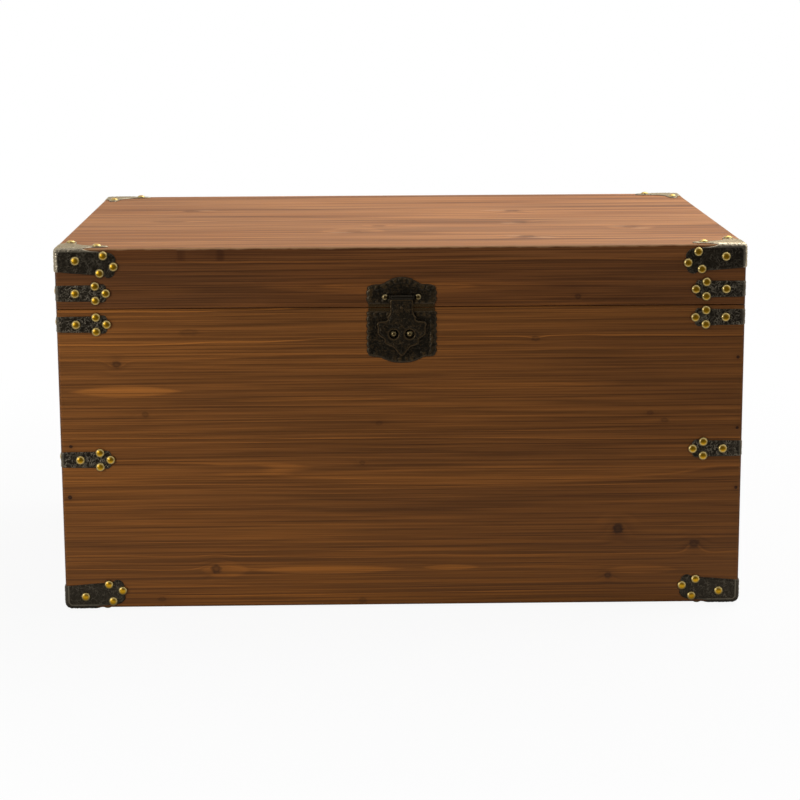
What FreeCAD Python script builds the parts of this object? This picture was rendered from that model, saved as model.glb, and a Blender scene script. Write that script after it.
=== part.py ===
"""Sea chest: a boarded pine chest with a hinged lid, dark iron corner caps and straps, and a hasp latch.

Millimetres, +Z up, front towards -Y. The origin is on the floor, under the middle of the chest.
"""
import FreeCAD, Part
import os

# Driving dimensions. Lengths are in millimetres, the slope is in degrees, and shares have no unit.
SIZES = {
    # wooden box
    "chest_width": 800,
    "chest_depth": 570,
    "body_height": 358,
    "lid_height": 70.3,
    "lid_gap": 0.8,
    "board_thickness": 15,
    "lower_board_height": 210.4,
    "lid_front_board_depth": 285,
    "edge_bevel": 2.5,
    # bottom panel, held in a groove
    "panel_thickness": 9,
    "panel_rise": 12,
    "groove_depth": 6,
    "groove_clearance": 0.2,
    # sheet iron of caps and straps
    "metal_thickness": 1.2,
    "bend_outside": 2.4,
    "bend_inside": 1.4,
    "lobe_radius": 6,
    # corner cap: tacks and fan lobes as distances along the edge and away from it
    "cap_wrap": 30,
    "cap_arm_start": 4,
    "cap_arm_end": 29.2,
    "cap_hub_along": 56,
    "cap_hub_away": 19.2,
    "cap_hub_radius": 10.5,
    "cap_fan_radius": 5.4,
    "cap_fan_1_along": 64.5,
    "cap_fan_1_away": 11.7,
    "cap_fan_2_along": 60.5,
    "cap_fan_2_away": 27.7,
    "cap_tack_1_along": 24,
    "cap_tack_1_away": 14.1,
    "cap_tack_2_along": 56.3,
    "cap_tack_2_away": 8.4,
    "cap_tack_3_along": 67.9,
    "cap_tack_3_away": 21.2,
    "cap_tack_4_along": 51.8,
    "cap_tack_4_away": 28.7,
    "crown_tack_along": 48,
    "crown_tack_away": 14,
    "crown_tip_along": 56,
    "crown_tip_radius": 5,
    # strap round an upright edge
    "strap_height": 18.6,
    "strap_band_end": 52,
    "strap_fan_along": 53.5,
    "strap_fan_spread": 6.4,
    "strap_fan_radius": 4.6,
    "strap_tack_1_along": 22.9,
    "strap_tack_2_along": 46,
    "strap_tack_2_spread": 8.4,
    "strap_tack_3_along": 58.2,
    "lid_strap_rise": 18.6,
    "upper_strap_drop_left": 17.7,
    "upper_strap_drop_right": 14.4,
    "middle_strap_drop_left": 178.3,
    "middle_strap_drop_right": 170.9,
    # domed tack heads
    "tack_radius": 5.6,
    "tack_height": 3,
    "tack_slope_angle": 40,
    # hasp latch, heights measured from the closed seam
    "latch_thickness": 1.2,
    "latch_half_width": 36.6,
    "latch_bump_radius": 4,
    "latch_lobe_half_width": 23.2,
    "upper_plate_start": 0.5,
    "upper_plate_shoulder": 26.8,
    "upper_plate_crown": 34.4,
    "lower_plate_start": 0.7,
    "lower_plate_shoulder": 57.6,
    "lower_plate_tip": 65.6,
    "latch_nail_radius": 4,
    "latch_nail_offset": 19.2,
    "hasp_pin_rise": 12,
    "hasp_pin_radius": 1.4,
    "hasp_knuckle_radius": 3,
    "hasp_neck_half_width": 13,
    "hasp_ear_thickness": 1.2,
    "hasp_neck_end": 14,
    "hasp_shoulder_offset": 17,
    "hasp_shoulder_drop": 21.5,
    "hasp_shoulder_radius": 12.2,
    "hasp_cheek_offset": 9.6,
    "hasp_cheek_drop": 38,
    "hasp_cheek_radius": 9.8,
    "hasp_tip_drop": 49.2,
    "hasp_tip_radius": 8,
    "hasp_eye_offset": 9.2,
    "hasp_eye_drop": 31,
    "hasp_eye_radius": 5.4,
    # butt hinges on the back
    "hinge_offset": 235,
    "hinge_width": 64,
    "hinge_leaf_height": 36,
    "hinge_leaf_thickness": 1.6,
    "hinge_knuckle_radius": 3.6,
    "hinge_middle_share": 0.36,
    "hinge_pin_radius": 1.8,
    "hinge_pin_overhang": 1.5,
    "hinge_screw_inset": 10,
    # drop handles on the ends
    "handle_rise": 236,
    "handle_plate_length": 152,
    "handle_plate_height": 32,
    "handle_plate_thickness": 2,
    "handle_stand": 9,
    "handle_eye_radius": 6,
    "handle_eye_length": 7,
    "bail_width": 96,
    "bail_drop": 48,
    "bail_bar": 8,
    "bail_thickness": 7,
    "bail_bend": 18,
    "bail_stub_radius": 3,
    "handle_screw_inset": 9,
    "handle_middle_screw_offset": 24,
    # slotted lid stay inside the right end
    "stay_swing_radius": 110,
    "stay_pivot_rise": 28,
    "stay_open_reach": 199,
    "stay_thickness": 2,
    "stay_half_width": 7,
    "stay_stud_radius": 3,
    "stay_stud_head_radius": 6,
    "stay_stud_head_thickness": 1.5,
    "stay_wall_gap": 1.5,
    # fits and cutting allowances
    "running_clearance": 0.05,
    "side_clearance": 0.4,
    "cut_overrun": 2,
}

doc = FreeCAD.newDocument("sea_chest")
sheet = doc.addObject("Spreadsheet::Sheet", "sizes")
for row, (size_name, size_value) in enumerate(SIZES.items(), start=1):
    sheet.set(f"A{row}", size_name)
    sheet.set(f"B{row}", str(size_value))
    sheet.setAlias(f"B{row}", size_name)
doc.recompute()

# Planes that several pieces share, as expressions in the sheet's sizes.
LEFT = "(-sizes.chest_width / 2)"
RIGHT = "(sizes.chest_width / 2)"
FRONT = "(-sizes.chest_depth / 2)"
BACK = "(sizes.chest_depth / 2)"
WOOD_BOTTOM = "(sizes.tack_height + sizes.metal_thickness)"
BODY_TOP = f"({WOOD_BOTTOM} + sizes.body_height)"
LID_BOTTOM = f"({BODY_TOP} + sizes.lid_gap)"
LID_TOP = f"({LID_BOTTOM} + sizes.lid_height)"
SEAM = f"({BODY_TOP} + sizes.lid_gap / 2)"
THICK = "sizes.board_thickness"

UPRIGHT_AXIS = FreeCAD.Vector(0, 0, 1)
ALONG = {
    "x": FreeCAD.Rotation(UPRIGHT_AXIS, FreeCAD.Vector(1, 0, 0)),
    "y": FreeCAD.Rotation(UPRIGHT_AXIS, FreeCAD.Vector(0, 1, 0)),
    "-x": FreeCAD.Rotation(UPRIGHT_AXIS, FreeCAD.Vector(-1, 0, 0)),
    "-y": FreeCAD.Rotation(UPRIGHT_AXIS, FreeCAD.Vector(0, -1, 0)),
    "z": FreeCAD.Rotation(),
}
TOUCH_SHARE = 1e-6
LOBE_SIDES = 8
TACK_SIDES = 6

subparts = {}


def bind(item, **expressions):
    """Tie properties of a document object to expressions in the sheet's sizes."""
    for prop, expression in expressions.items():
        item.setExpression(prop, expression)


def put(item, place):
    """Tie the three coordinates of an object's place to expressions."""
    for axis, expression in zip("xyz", place):
        item.setExpression(f"Placement.Base.{axis}", expression)


def box(name, low, size):
    """A block from its lowest corner and its three sizes."""
    block = doc.addObject("Part::Box", name)
    bind(block, Length=size[0], Width=size[1], Height=size[2])
    put(block, low)
    return block


def rod(name, axis, start, radius, length):
    """A round bar or disc that starts at a point and runs along an axis."""
    bar = doc.addObject("Part::Cylinder", name)
    bar.Placement = FreeCAD.Placement(FreeCAD.Vector(), ALONG[axis])
    bind(bar, Radius=radius, Height=length)
    put(bar, start)
    return bar


def lobe(name, axis, start, radius, length):
    """A disc with few flat sides, for outlines that repeat many times."""
    disc = doc.addObject("Part::Prism", name)
    disc.Polygon = LOBE_SIDES
    disc.Placement = FreeCAD.Placement(FreeCAD.Vector(), ALONG[axis])
    bind(disc, Circumradius=radius, Height=length)
    put(disc, start)
    return disc


def fuse(name, pieces):
    """Several shapes joined into one."""
    joined = doc.addObject("Part::MultiFuse", name)
    joined.Shapes = pieces
    joined.Refine = True
    return joined


def cut(name, base, tool):
    """A shape with another taken out of it."""
    rest = doc.addObject("Part::Cut", name)
    rest.Base = base
    rest.Tool = tool
    rest.Refine = True
    return rest


def common(name, base, tool):
    """What two shapes share."""
    shared = doc.addObject("Part::Common", name)
    shared.Base = base
    shared.Tool = tool
    shared.Refine = True
    return shared


def group(name, pieces):
    """Like pieces kept as separate solids under one name."""
    gathered = doc.addObject("Part::Compound", name)
    gathered.Links = pieces
    return gathered


def copy_at(name, master, rotation, place):
    """One more of a piece, turned and then put at a place."""
    twin = doc.addObject("Part::Compound", name)
    twin.Links = [master]
    twin.Placement = FreeCAD.Placement(FreeCAD.Vector(), rotation)
    put(twin, place)
    return twin


def edges_on(shape, side_pairs):
    """Names of a block's edges that lie on both sides of a pair, such as ("-x", "+z")."""
    bounds = shape.BoundBox
    sides = {
        "-x": ("x", bounds.XMin), "+x": ("x", bounds.XMax),
        "-y": ("y", bounds.YMin), "+y": ("y", bounds.YMax),
        "-z": ("z", bounds.ZMin), "+z": ("z", bounds.ZMax),
    }
    reach = TOUCH_SHARE * bounds.DiagonalLength
    names = []
    for number, edge in enumerate(shape.Edges, start=1):
        middle = edge.CenterOfMass
        for pair in side_pairs:
            if all(abs(getattr(middle, sides[side][0]) - sides[side][1]) < reach for side in pair):
                names.append(f"Edge{number}")
    return names


def block_body(name, low, size):
    """A body that starts as a block, and its block."""
    body = doc.addObject("PartDesign::Body", name)
    blank = body.newObject("PartDesign::AdditiveBox", f"{name}_blank")
    bind(blank, Length=size[0], Width=size[1], Height=size[2])
    put(blank, low)
    doc.recompute()
    return body, blank


def rounded_block(name, low, size, radius, side_pairs):
    """A block with some of its edges rounded."""
    body, blank = block_body(name, low, size)
    eased = body.newObject("PartDesign::Fillet", f"{name}_round")
    eased.Base = (blank, edges_on(blank.Shape, side_pairs))
    bind(eased, Radius=radius)
    return body


def bevelled_block(name, low, size, bevel, side_pairs):
    """A block with some of its edges bevelled."""
    body, blank = block_body(name, low, size)
    if side_pairs:
        eased = body.newObject("PartDesign::Chamfer", f"{name}_bevel")
        eased.Base = (blank, edges_on(blank.Shape, side_pairs))
        bind(eased, Size=bevel)
    return body


# Walls of the chest. The front and back boards run past the ends of the end boards, and the four lower
# boards have a groove for the bottom panel.
INSIDE_WIDTH = f"(sizes.chest_width - 2 * {THICK})"
INSIDE_DEPTH = f"(sizes.chest_depth - 2 * {THICK})"
LOWER_HEIGHT = "sizes.lower_board_height"
UPPER_HEIGHT = "(sizes.body_height - sizes.lower_board_height)"
UPPER_START = f"({WOOD_BOTTOM} + sizes.lower_board_height)"
PANEL_START = f"({WOOD_BOTTOM} + sizes.panel_rise)"


def groove(body):
    """Cut the groove for the bottom panel on the inner face of a lower board."""
    cutter = body.newObject("PartDesign::SubtractiveBox", f"{body.Name}_groove")
    bind(cutter,
         Length=f"{INSIDE_WIDTH} + 2 * sizes.groove_depth",
         Width=f"{INSIDE_DEPTH} + 2 * sizes.groove_depth",
         Height="sizes.panel_thickness + 2 * sizes.groove_clearance")
    put(cutter, (f"-({INSIDE_WIDTH} / 2 + sizes.groove_depth)",
                 f"-({INSIDE_DEPTH} / 2 + sizes.groove_depth)",
                 f"{PANEL_START} - sizes.groove_clearance"))


def wall_boards(name, low_x, low_y, length, width, outer, ends):
    """Lower and upper board of one wall; outer is its outer side, ends are the chest corners it turns."""
    corners = [(outer, end) for end in ends]
    feet = [(side, "-z") for side in (outer, *ends)]
    lower = bevelled_block(f"{name}_lower_board", (low_x, low_y, WOOD_BOTTOM), (length, width, LOWER_HEIGHT),
                           "sizes.edge_bevel", corners + feet)
    groove(lower)
    upper = bevelled_block(f"{name}_upper_board", (low_x, low_y, UPPER_START), (length, width, UPPER_HEIGHT),
                           "sizes.edge_bevel", corners)
    subparts[lower.Name] = lower
    subparts[upper.Name] = upper


wall_boards("front", LEFT, FRONT, "sizes.chest_width", THICK, "-y", ("-x", "+x"))
wall_boards("back", LEFT, f"{BACK} - {THICK}", "sizes.chest_width", THICK, "+y", ("-x", "+x"))
wall_boards("left_end", LEFT, f"{FRONT} + {THICK}", THICK, INSIDE_DEPTH, "-x", ())
wall_boards("right_end", f"{RIGHT} - {THICK}", f"{FRONT} + {THICK}", THICK, INSIDE_DEPTH, "+x", ())

PANEL_TONGUE = "(sizes.groove_depth - sizes.groove_clearance)"
subparts["bottom_panel"] = box(
    "bottom_panel",
    (f"-({INSIDE_WIDTH} / 2 + {PANEL_TONGUE})", f"-({INSIDE_DEPTH} / 2 + {PANEL_TONGUE})", PANEL_START),
    (f"{INSIDE_WIDTH} + 2 * {PANEL_TONGUE}", f"{INSIDE_DEPTH} + 2 * {PANEL_TONGUE}",
     "sizes.panel_thickness"))

# Lid. Two edge-glued boards lie on a frame of four narrow boards.
LID_FRAME_HEIGHT = f"(sizes.lid_height - {THICK})"


def lid_frame_board(name, low_x, low_y, length, width, outer, ends):
    """One board of the lid's frame, eased at the chest corners it turns."""
    subparts[name] = bevelled_block(name, (low_x, low_y, LID_BOTTOM), (length, width, LID_FRAME_HEIGHT),
                                    "sizes.edge_bevel", [(outer, end) for end in ends])


lid_frame_board("lid_front_board", LEFT, FRONT, "sizes.chest_width", THICK, "-y", ("-x", "+x"))
lid_frame_board("lid_back_board", LEFT, f"{BACK} - {THICK}", "sizes.chest_width", THICK, "+y", ("-x", "+x"))
lid_frame_board("lid_left_end", LEFT, f"{FRONT} + {THICK}", THICK, INSIDE_DEPTH, "-x", ())
lid_frame_board("lid_right_end", f"{RIGHT} - {THICK}", f"{FRONT} + {THICK}", THICK, INSIDE_DEPTH, "+x", ())


def lid_top_board(name, low_y, depth, outer):
    """One of the two boards on top of the lid, eased along its three free edges."""
    free = [(outer, "-x"), (outer, "+x"), (outer, "+z"), ("-x", "+z"), ("+x", "+z")]
    subparts[name] = bevelled_block(name, (LEFT, low_y, f"{LID_TOP} - {THICK}"),
                                    ("sizes.chest_width", depth, THICK), "sizes.edge_bevel", free)


lid_top_board("lid_top_front_board", FRONT, "sizes.lid_front_board_depth", "-y")
lid_top_board("lid_top_back_board", f"{FRONT} + sizes.lid_front_board_depth",
              "sizes.chest_depth - sizes.lid_front_board_depth", "+y")

# Domed tack, facetted: it stands on its flat underside at the origin and points up.


def tack(name, radius):
    """A tack head of the given radius, a low prism with sloping sides."""
    head = doc.addObject("PartDesign::Body", name)
    stock = head.newObject("PartDesign::AdditivePrism", f"{name}_stock")
    stock.Polygon = TACK_SIDES
    bind(stock, Circumradius=radius, Height="sizes.tack_height")
    doc.recompute()
    sides = []
    underside = []
    for number, face in enumerate(stock.Shape.Faces, start=1):
        outward = face.normalAt(0, 0)
        if abs(outward.z) < TOUCH_SHARE:
            sides.append(f"Face{number}")
        elif outward.z < 0:
            underside.append(f"Face{number}")
    dome = head.newObject("PartDesign::Draft", f"{name}_dome")
    dome.Base = (stock, sides)
    dome.NeutralPlane = (stock, underside)
    bind(dome, Angle="sizes.tack_slope_angle")
    return head


brass_tack = tack("brass_tack", "sizes.tack_radius")

# Corner cap in its own frame: the wood's corner is at the origin, with wood towards +X, +Y and -Z. It is a
# thin shell, bent over the corner, and trimmed to two trefoil arms and a two-lobed crown.
SHEET = "sizes.metal_thickness"
CAP_REACH = "(sizes.cap_tack_3_along + 2 * sizes.lobe_radius)"
LEAF_DEPTH = f"({SHEET} + sizes.bend_outside)"
CORNER_PAIRS = [("-x", "-y"), ("-x", "+z"), ("-y", "+z")]
LEAF_TACKS = [(f"sizes.cap_tack_{number}_along", f"sizes.cap_tack_{number}_away") for number in (1, 2, 3, 4)]
LEAF_LOBES = [
    ("sizes.cap_fan_1_along", "sizes.cap_fan_1_away", "sizes.cap_fan_radius"),
    ("sizes.cap_fan_2_along", "sizes.cap_fan_2_away", "sizes.cap_fan_radius"),
    ("sizes.cap_hub_along", "sizes.cap_hub_away", "sizes.cap_hub_radius"),
]

cap_outside = bevelled_block("cap_outside", (f"-{SHEET}", f"-{SHEET}", f"-{CAP_REACH}"),
                             (f"{CAP_REACH} + {SHEET}",) * 3, "sizes.bend_outside", CORNER_PAIRS)
cap_inside = bevelled_block("cap_inside", ("0", "0", f"-({CAP_REACH} + sizes.cut_overrun)"),
                            (f"{CAP_REACH} + sizes.cut_overrun",) * 3, "sizes.bend_inside", CORNER_PAIRS)
cap_shell = cut("cap_shell", cap_outside, cap_inside)


def side_leaf(name, swap):
    """Trimming shapes of one upright leaf: patch, arm and lobed end; swap turns it to the end face."""
    def turned(along, across, up):
        return (across, along, up) if swap else (along, across, up)

    def slab(label, along, length, up, height):
        return box(f"{name}_{label}", turned(along, f"-{SHEET}", up), turned(length, LEAF_DEPTH, height))

    pieces = [
        slab("patch", f"-{SHEET}", f"sizes.cap_wrap + {SHEET}",
             "-sizes.cap_arm_end", f"sizes.cap_arm_end + {SHEET}"),
        slab("arm", "0", "sizes.cap_tack_2_along", "-sizes.cap_arm_end",
             "sizes.cap_arm_end - sizes.cap_arm_start"),
    ]
    for number, (along, away, radius) in enumerate(LEAF_LOBES, start=1):
        pieces.append(lobe(f"{name}_lobe_{number}", "x" if swap else "y",
                           turned(along, f"-{SHEET}", f"-{away}"), radius, LEAF_DEPTH))
    return pieces


def crown_leaf():
    """Trimming shapes of the leaf on top: corner patch and two short arms, each with a lobe and a tip."""
    low = f"-{LEAF_DEPTH} + {SHEET}"
    pieces = [box("crown_patch", (f"-{SHEET}", f"-{SHEET}", low),
                  (f"sizes.cap_wrap + {SHEET}", f"sizes.cap_wrap + {SHEET}", LEAF_DEPTH))]
    arm = ("sizes.crown_tack_along", "2 * sizes.lobe_radius")
    near = "sizes.crown_tack_away - sizes.lobe_radius"
    for swap in (False, True):
        order = slice(None, None, -1) if swap else slice(None)
        label = "back" if swap else "front"
        pieces.append(box(f"crown_{label}_arm", (*("0", near)[order], low), (*arm[order], LEAF_DEPTH)))
        for spot, radius in (("tack", "sizes.lobe_radius"), ("tip", "sizes.crown_tip_radius")):
            centre = (f"sizes.crown_{spot}_along", "sizes.crown_tack_away")[order]
            pieces.append(lobe(f"crown_{label}_{spot}", "z", (*centre, low), radius, LEAF_DEPTH))
    return pieces


cap_trim = fuse("cap_trim", side_leaf("front_leaf", False) + side_leaf("end_leaf", True) + crown_leaf())
corner_cap = common("corner_cap", cap_shell, cap_trim)


def tack_pair(name, along, up):
    """Two copies of a tack, one on the front leaf and one at the same place on the end leaf."""
    return [copy_at(f"{name}_front", brass_tack, ALONG["-y"], (along, f"-{SHEET}", up)),
            copy_at(f"{name}_end", brass_tack, ALONG["-x"], (f"-{SHEET}", along, up))]


cap_leaf_tacks = []
for number, (along, away) in enumerate(LEAF_TACKS, start=1):
    cap_leaf_tacks += tack_pair(f"cap_tack_{number}", along, f"-{away}")
leaf_tack_set = group("leaf_tack_set", cap_leaf_tacks)
crown_tack_set = group("crown_tack_set", [
    copy_at("crown_tack_front", brass_tack, ALONG["z"],
            ("sizes.crown_tack_along", "sizes.crown_tack_away", SHEET)),
    copy_at("crown_tack_end", brass_tack, ALONG["z"],
            ("sizes.crown_tack_away", "sizes.crown_tack_along", SHEET))])

# Edge strap in its own frame: the upright edge runs through the origin, with wood towards +X and +Y.
STRAP_REACH = "(sizes.strap_tack_3_along + 2 * sizes.lobe_radius)"
STRAP_SPAN = "(2 * sizes.strap_tack_2_spread + 4 * sizes.lobe_radius)"
STRAP_TACKS = [("sizes.strap_tack_1_along", "0"),
               ("sizes.strap_tack_2_along", "sizes.strap_tack_2_spread"),
               ("sizes.strap_tack_2_along", "-sizes.strap_tack_2_spread"),
               ("sizes.strap_tack_3_along", "0")]
STRAP_LOBES = [
    ("sizes.strap_fan_along", "sizes.strap_fan_spread", "sizes.strap_fan_radius"),
    ("sizes.strap_fan_along", "-sizes.strap_fan_spread", "sizes.strap_fan_radius"),
]

strap_outside = bevelled_block("strap_outside", (f"-{SHEET}", f"-{SHEET}", f"-{STRAP_SPAN} / 2"),
                               (f"{STRAP_REACH} + {SHEET}", f"{STRAP_REACH} + {SHEET}", STRAP_SPAN),
                               "sizes.bend_outside", [("-x", "-y")])
strap_inside = bevelled_block("strap_inside", ("0", "0", f"-{STRAP_SPAN}"),
                              (f"{STRAP_REACH} + sizes.cut_overrun", f"{STRAP_REACH} + sizes.cut_overrun",
                               f"2 * {STRAP_SPAN}"),
                              "sizes.bend_inside", [("-x", "-y")])
strap_shell = cut("strap_shell", strap_outside, strap_inside)
STRAP_BAND = f"sizes.strap_band_end + {SHEET}"
strap_pieces = [
    box("strap_front_band", (f"-{SHEET}", f"-{SHEET}", "-sizes.strap_height / 2"),
        (STRAP_BAND, LEAF_DEPTH, "sizes.strap_height")),
    box("strap_end_band", (f"-{SHEET}", f"-{SHEET}", "-sizes.strap_height / 2"),
        (LEAF_DEPTH, STRAP_BAND, "sizes.strap_height")),
]
for number, (along, up, radius) in enumerate(STRAP_LOBES, start=1):
    strap_pieces += [
        lobe(f"strap_front_lobe_{number}", "y", (along, f"-{SHEET}", up), radius, LEAF_DEPTH),
        lobe(f"strap_end_lobe_{number}", "x", (f"-{SHEET}", along, up), radius, LEAF_DEPTH),
    ]
edge_strap = common("edge_strap", strap_shell, fuse("strap_trim", strap_pieces))
strap_tack_copies = []
for number, (along, up) in enumerate(STRAP_TACKS, start=1):
    strap_tack_copies += tack_pair(f"strap_tack_{number}", along, up)
strap_tack_set = group("strap_tack_set", strap_tack_copies)

# The four upright edges of the chest, each with its quarter turns from the front left one.
CORNERS = {
    "front_left": (LEFT, FRONT, 0),
    "front_right": (RIGHT, FRONT, 1),
    "back_right": (RIGHT, BACK, 2),
    "back_left": (LEFT, BACK, 3),
}
QUARTER_TURN = 90
UPSIDE_DOWN = FreeCAD.Rotation(FreeCAD.Vector(1, 1, 0), 2 * QUARTER_TURN)

lid_tacks = []
chest_tacks = []
foot_tacks = []
lid_straps = []
upper_straps = []
middle_straps = []
for corner, (corner_x, corner_y, turns) in CORNERS.items():
    turn = FreeCAD.Rotation(UPRIGHT_AXIS, turns * QUARTER_TURN)
    top = (corner_x, corner_y, LID_TOP)
    foot = (corner_x, corner_y, WOOD_BOTTOM)
    subparts[f"{corner}_lid_cap"] = copy_at(f"{corner}_lid_cap", corner_cap, turn, top)
    subparts[f"{corner}_foot_cap"] = copy_at(f"{corner}_foot_cap", corner_cap, turn * UPSIDE_DOWN, foot)
    lid_tacks.append(copy_at(f"{corner}_lid_leaf_tacks", leaf_tack_set, turn, top))
    lid_tacks.append(copy_at(f"{corner}_lid_crown_tacks", crown_tack_set, turn, top))
    chest_tacks.append(copy_at(f"{corner}_foot_leaf_tacks", leaf_tack_set, turn * UPSIDE_DOWN, foot))
    foot_tacks.append(copy_at(f"{corner}_foot_crown_tacks", crown_tack_set, turn * UPSIDE_DOWN, foot))
    hand = corner.split("_")[1]
    strap_rows = (
        ("lid_strap", lid_straps, lid_tacks, f"{SEAM} + sizes.lid_strap_rise"),
        ("upper_strap", upper_straps, chest_tacks, f"{SEAM} - sizes.upper_strap_drop_{hand}"),
        ("middle_strap", middle_straps, chest_tacks, f"{SEAM} - sizes.middle_strap_drop_{hand}"),
    )
    for strap, strap_group, tack_group, height in strap_rows:
        place = (corner_x, corner_y, height)
        strap_group.append(copy_at(f"{corner}_{strap}", edge_strap, turn, place))
        tack_group.append(copy_at(f"{corner}_{strap}_tacks", strap_tack_set, turn, place))

subparts["lid_straps"] = group("lid_straps", lid_straps)
subparts["upper_straps"] = group("upper_straps", upper_straps)
subparts["middle_straps"] = group("middle_straps", middle_straps)
subparts["lid_tacks"] = group("lid_tacks", lid_tacks)
subparts["chest_tacks"] = group("chest_tacks", chest_tacks)
subparts["foot_tacks"] = group("foot_tacks", foot_tacks)

# Hasp latch. Both plates lie flat on the front, and the flap hangs in front of the lower plate's nails.
LATCH_FACE = f"({FRONT} - sizes.latch_thickness)"
HASP_AXIS_Y = f"({LATCH_FACE} - sizes.tack_height - sizes.side_clearance)"
HASP_AXIS_Z = f"({SEAM} + sizes.hasp_pin_rise)"
PLATE = "sizes.latch_thickness"
LOWER_BUMPS = 7
UPPER_BUMPS = 3


def bumped_plate(name, low, height, bump_count):
    """A plate on the front face with a row of round bumps along both upright sides."""
    pieces = [box(f"{name}_field", ("-sizes.latch_half_width", LATCH_FACE, low),
                  ("2 * sizes.latch_half_width", PLATE, height))]
    for number in range(bump_count):
        row_share = number / (bump_count - 1)
        rise = f"{low} + sizes.latch_bump_radius + {row_share} * ({height} - 2 * sizes.latch_bump_radius)"
        for hand, sign in (("left", "-"), ("right", "")):
            pieces.append(lobe(f"{name}_{hand}_bump_{number}", "y",
                               (f"{sign}sizes.latch_half_width", LATCH_FACE, rise),
                               "sizes.latch_bump_radius", PLATE))
    return pieces


def plate_lobe(name, shoulder, tip, upwards):
    """The round lobe beyond a plate's shoulder: a circle's segment as wide as the lobe."""
    rise = f"({tip} - {shoulder})"
    radius = f"((sizes.latch_lobe_half_width ^ 2 + {rise} ^ 2) / (2 * {rise}))"
    sign = "+" if upwards else "-"
    low = f"{SEAM} + {shoulder}" if upwards else f"{SEAM} - {tip}"
    centre = ("0", LATCH_FACE, f"{SEAM} {sign} ({tip} - {radius})")
    circle = rod(f"{name}_circle", "y", centre, radius, PLATE)
    window = box(f"{name}_window", ("-sizes.latch_lobe_half_width", LATCH_FACE, low),
                 ("2 * sizes.latch_lobe_half_width", PLATE, rise))
    return common(name, circle, window)


LOWER_FIELD = "(sizes.lower_plate_shoulder - sizes.lower_plate_start)"
subparts["latch_lower_plate"] = fuse(
    "latch_lower_plate",
    bumped_plate("lower_plate", f"({SEAM} - sizes.lower_plate_shoulder)", LOWER_FIELD, LOWER_BUMPS)
    + [plate_lobe("lower_plate_lobe", "sizes.lower_plate_shoulder", "sizes.lower_plate_tip", False)])

HASP_EYE_Z = f"({SEAM} - sizes.hasp_eye_drop)"
latch_nail = tack("latch_nail", "sizes.latch_nail_radius")
subparts["latch_lower_nails"] = group("latch_lower_nails", [
    copy_at(f"lower_nail_{hand}", latch_nail, ALONG["-y"],
            (f"{sign}sizes.hasp_eye_offset", LATCH_FACE, HASP_EYE_Z))
    for hand, sign in (("left", "-"), ("right", ""))])

EAR_GAP = "sizes.hasp_neck_half_width + sizes.side_clearance"
UPPER_FIELD = "(sizes.upper_plate_shoulder - sizes.upper_plate_start)"
ear_pieces = []
for hand, start in (("left", f"-({EAR_GAP} + sizes.hasp_ear_thickness)"), ("right", EAR_GAP)):
    ear_pieces.append(box(f"hasp_ear_{hand}_stem",
                          (start, HASP_AXIS_Y, f"{HASP_AXIS_Z} - sizes.hasp_knuckle_radius"),
                          ("sizes.hasp_ear_thickness", f"{LATCH_FACE} - {HASP_AXIS_Y}",
                           "2 * sizes.hasp_knuckle_radius")))
    ear_pieces.append(rod(f"hasp_ear_{hand}_eye", "x", (start, HASP_AXIS_Y, HASP_AXIS_Z),
                          "sizes.hasp_knuckle_radius", "sizes.hasp_ear_thickness"))
upper_plate_blank = fuse(
    "upper_plate_blank",
    bumped_plate("upper_plate", f"({SEAM} + sizes.upper_plate_start)", UPPER_FIELD, UPPER_BUMPS)
    + [plate_lobe("upper_plate_lobe", "sizes.upper_plate_shoulder", "sizes.upper_plate_crown", True)]
    + ear_pieces)
HASP_PIN_HALF = f"({EAR_GAP} + sizes.hasp_ear_thickness)"
HASP_BORE = "sizes.hasp_pin_radius + sizes.running_clearance"
hasp_bore = rod("hasp_bore", "x", (f"-{HASP_PIN_HALF} - sizes.cut_overrun", HASP_AXIS_Y, HASP_AXIS_Z),
                HASP_BORE, f"2 * ({HASP_PIN_HALF} + sizes.cut_overrun)")
subparts["latch_upper_plate"] = cut("latch_upper_plate", upper_plate_blank, hasp_bore)
subparts["hasp_pin"] = rod("hasp_pin", "x", (f"-{HASP_PIN_HALF}", HASP_AXIS_Y, HASP_AXIS_Z),
                           "sizes.hasp_pin_radius", f"2 * {HASP_PIN_HALF}")
subparts["latch_upper_nails"] = group("latch_upper_nails", [
    copy_at(f"upper_nail_{hand}", latch_nail, ALONG["-y"],
            (f"{sign}sizes.latch_nail_offset", LATCH_FACE, HASP_AXIS_Z))
    for hand, sign in (("left", "-"), ("right", ""))])

# Flap of the hasp: a knuckle round the pin, a straight neck and a lobed shield with two round eyes.
FLAP_FRONT = f"({HASP_AXIS_Y} - sizes.latch_thickness)"
flap_pieces = [
    rod("flap_knuckle", "x", ("-sizes.hasp_neck_half_width", HASP_AXIS_Y, HASP_AXIS_Z),
        "sizes.hasp_knuckle_radius", "2 * sizes.hasp_neck_half_width"),
    box("flap_neck", ("-sizes.hasp_neck_half_width", FLAP_FRONT, f"{SEAM} - sizes.hasp_shoulder_drop"),
        ("2 * sizes.hasp_neck_half_width", PLATE, "sizes.hasp_pin_rise + sizes.hasp_shoulder_drop")),
    box("flap_field", ("-sizes.hasp_shoulder_offset", FLAP_FRONT, f"{SEAM} - sizes.hasp_cheek_drop"),
        ("2 * sizes.hasp_shoulder_offset", PLATE, "sizes.hasp_cheek_drop - sizes.hasp_neck_end")),
    box("flap_chin", ("-sizes.hasp_tip_radius", FLAP_FRONT, f"{SEAM} - sizes.hasp_tip_drop"),
        ("2 * sizes.hasp_tip_radius", PLATE, "sizes.hasp_tip_drop - sizes.hasp_shoulder_drop")),
    rod("flap_tip", "y", ("0", FLAP_FRONT, f"{SEAM} - sizes.hasp_tip_drop"), "sizes.hasp_tip_radius", PLATE),
]
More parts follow.
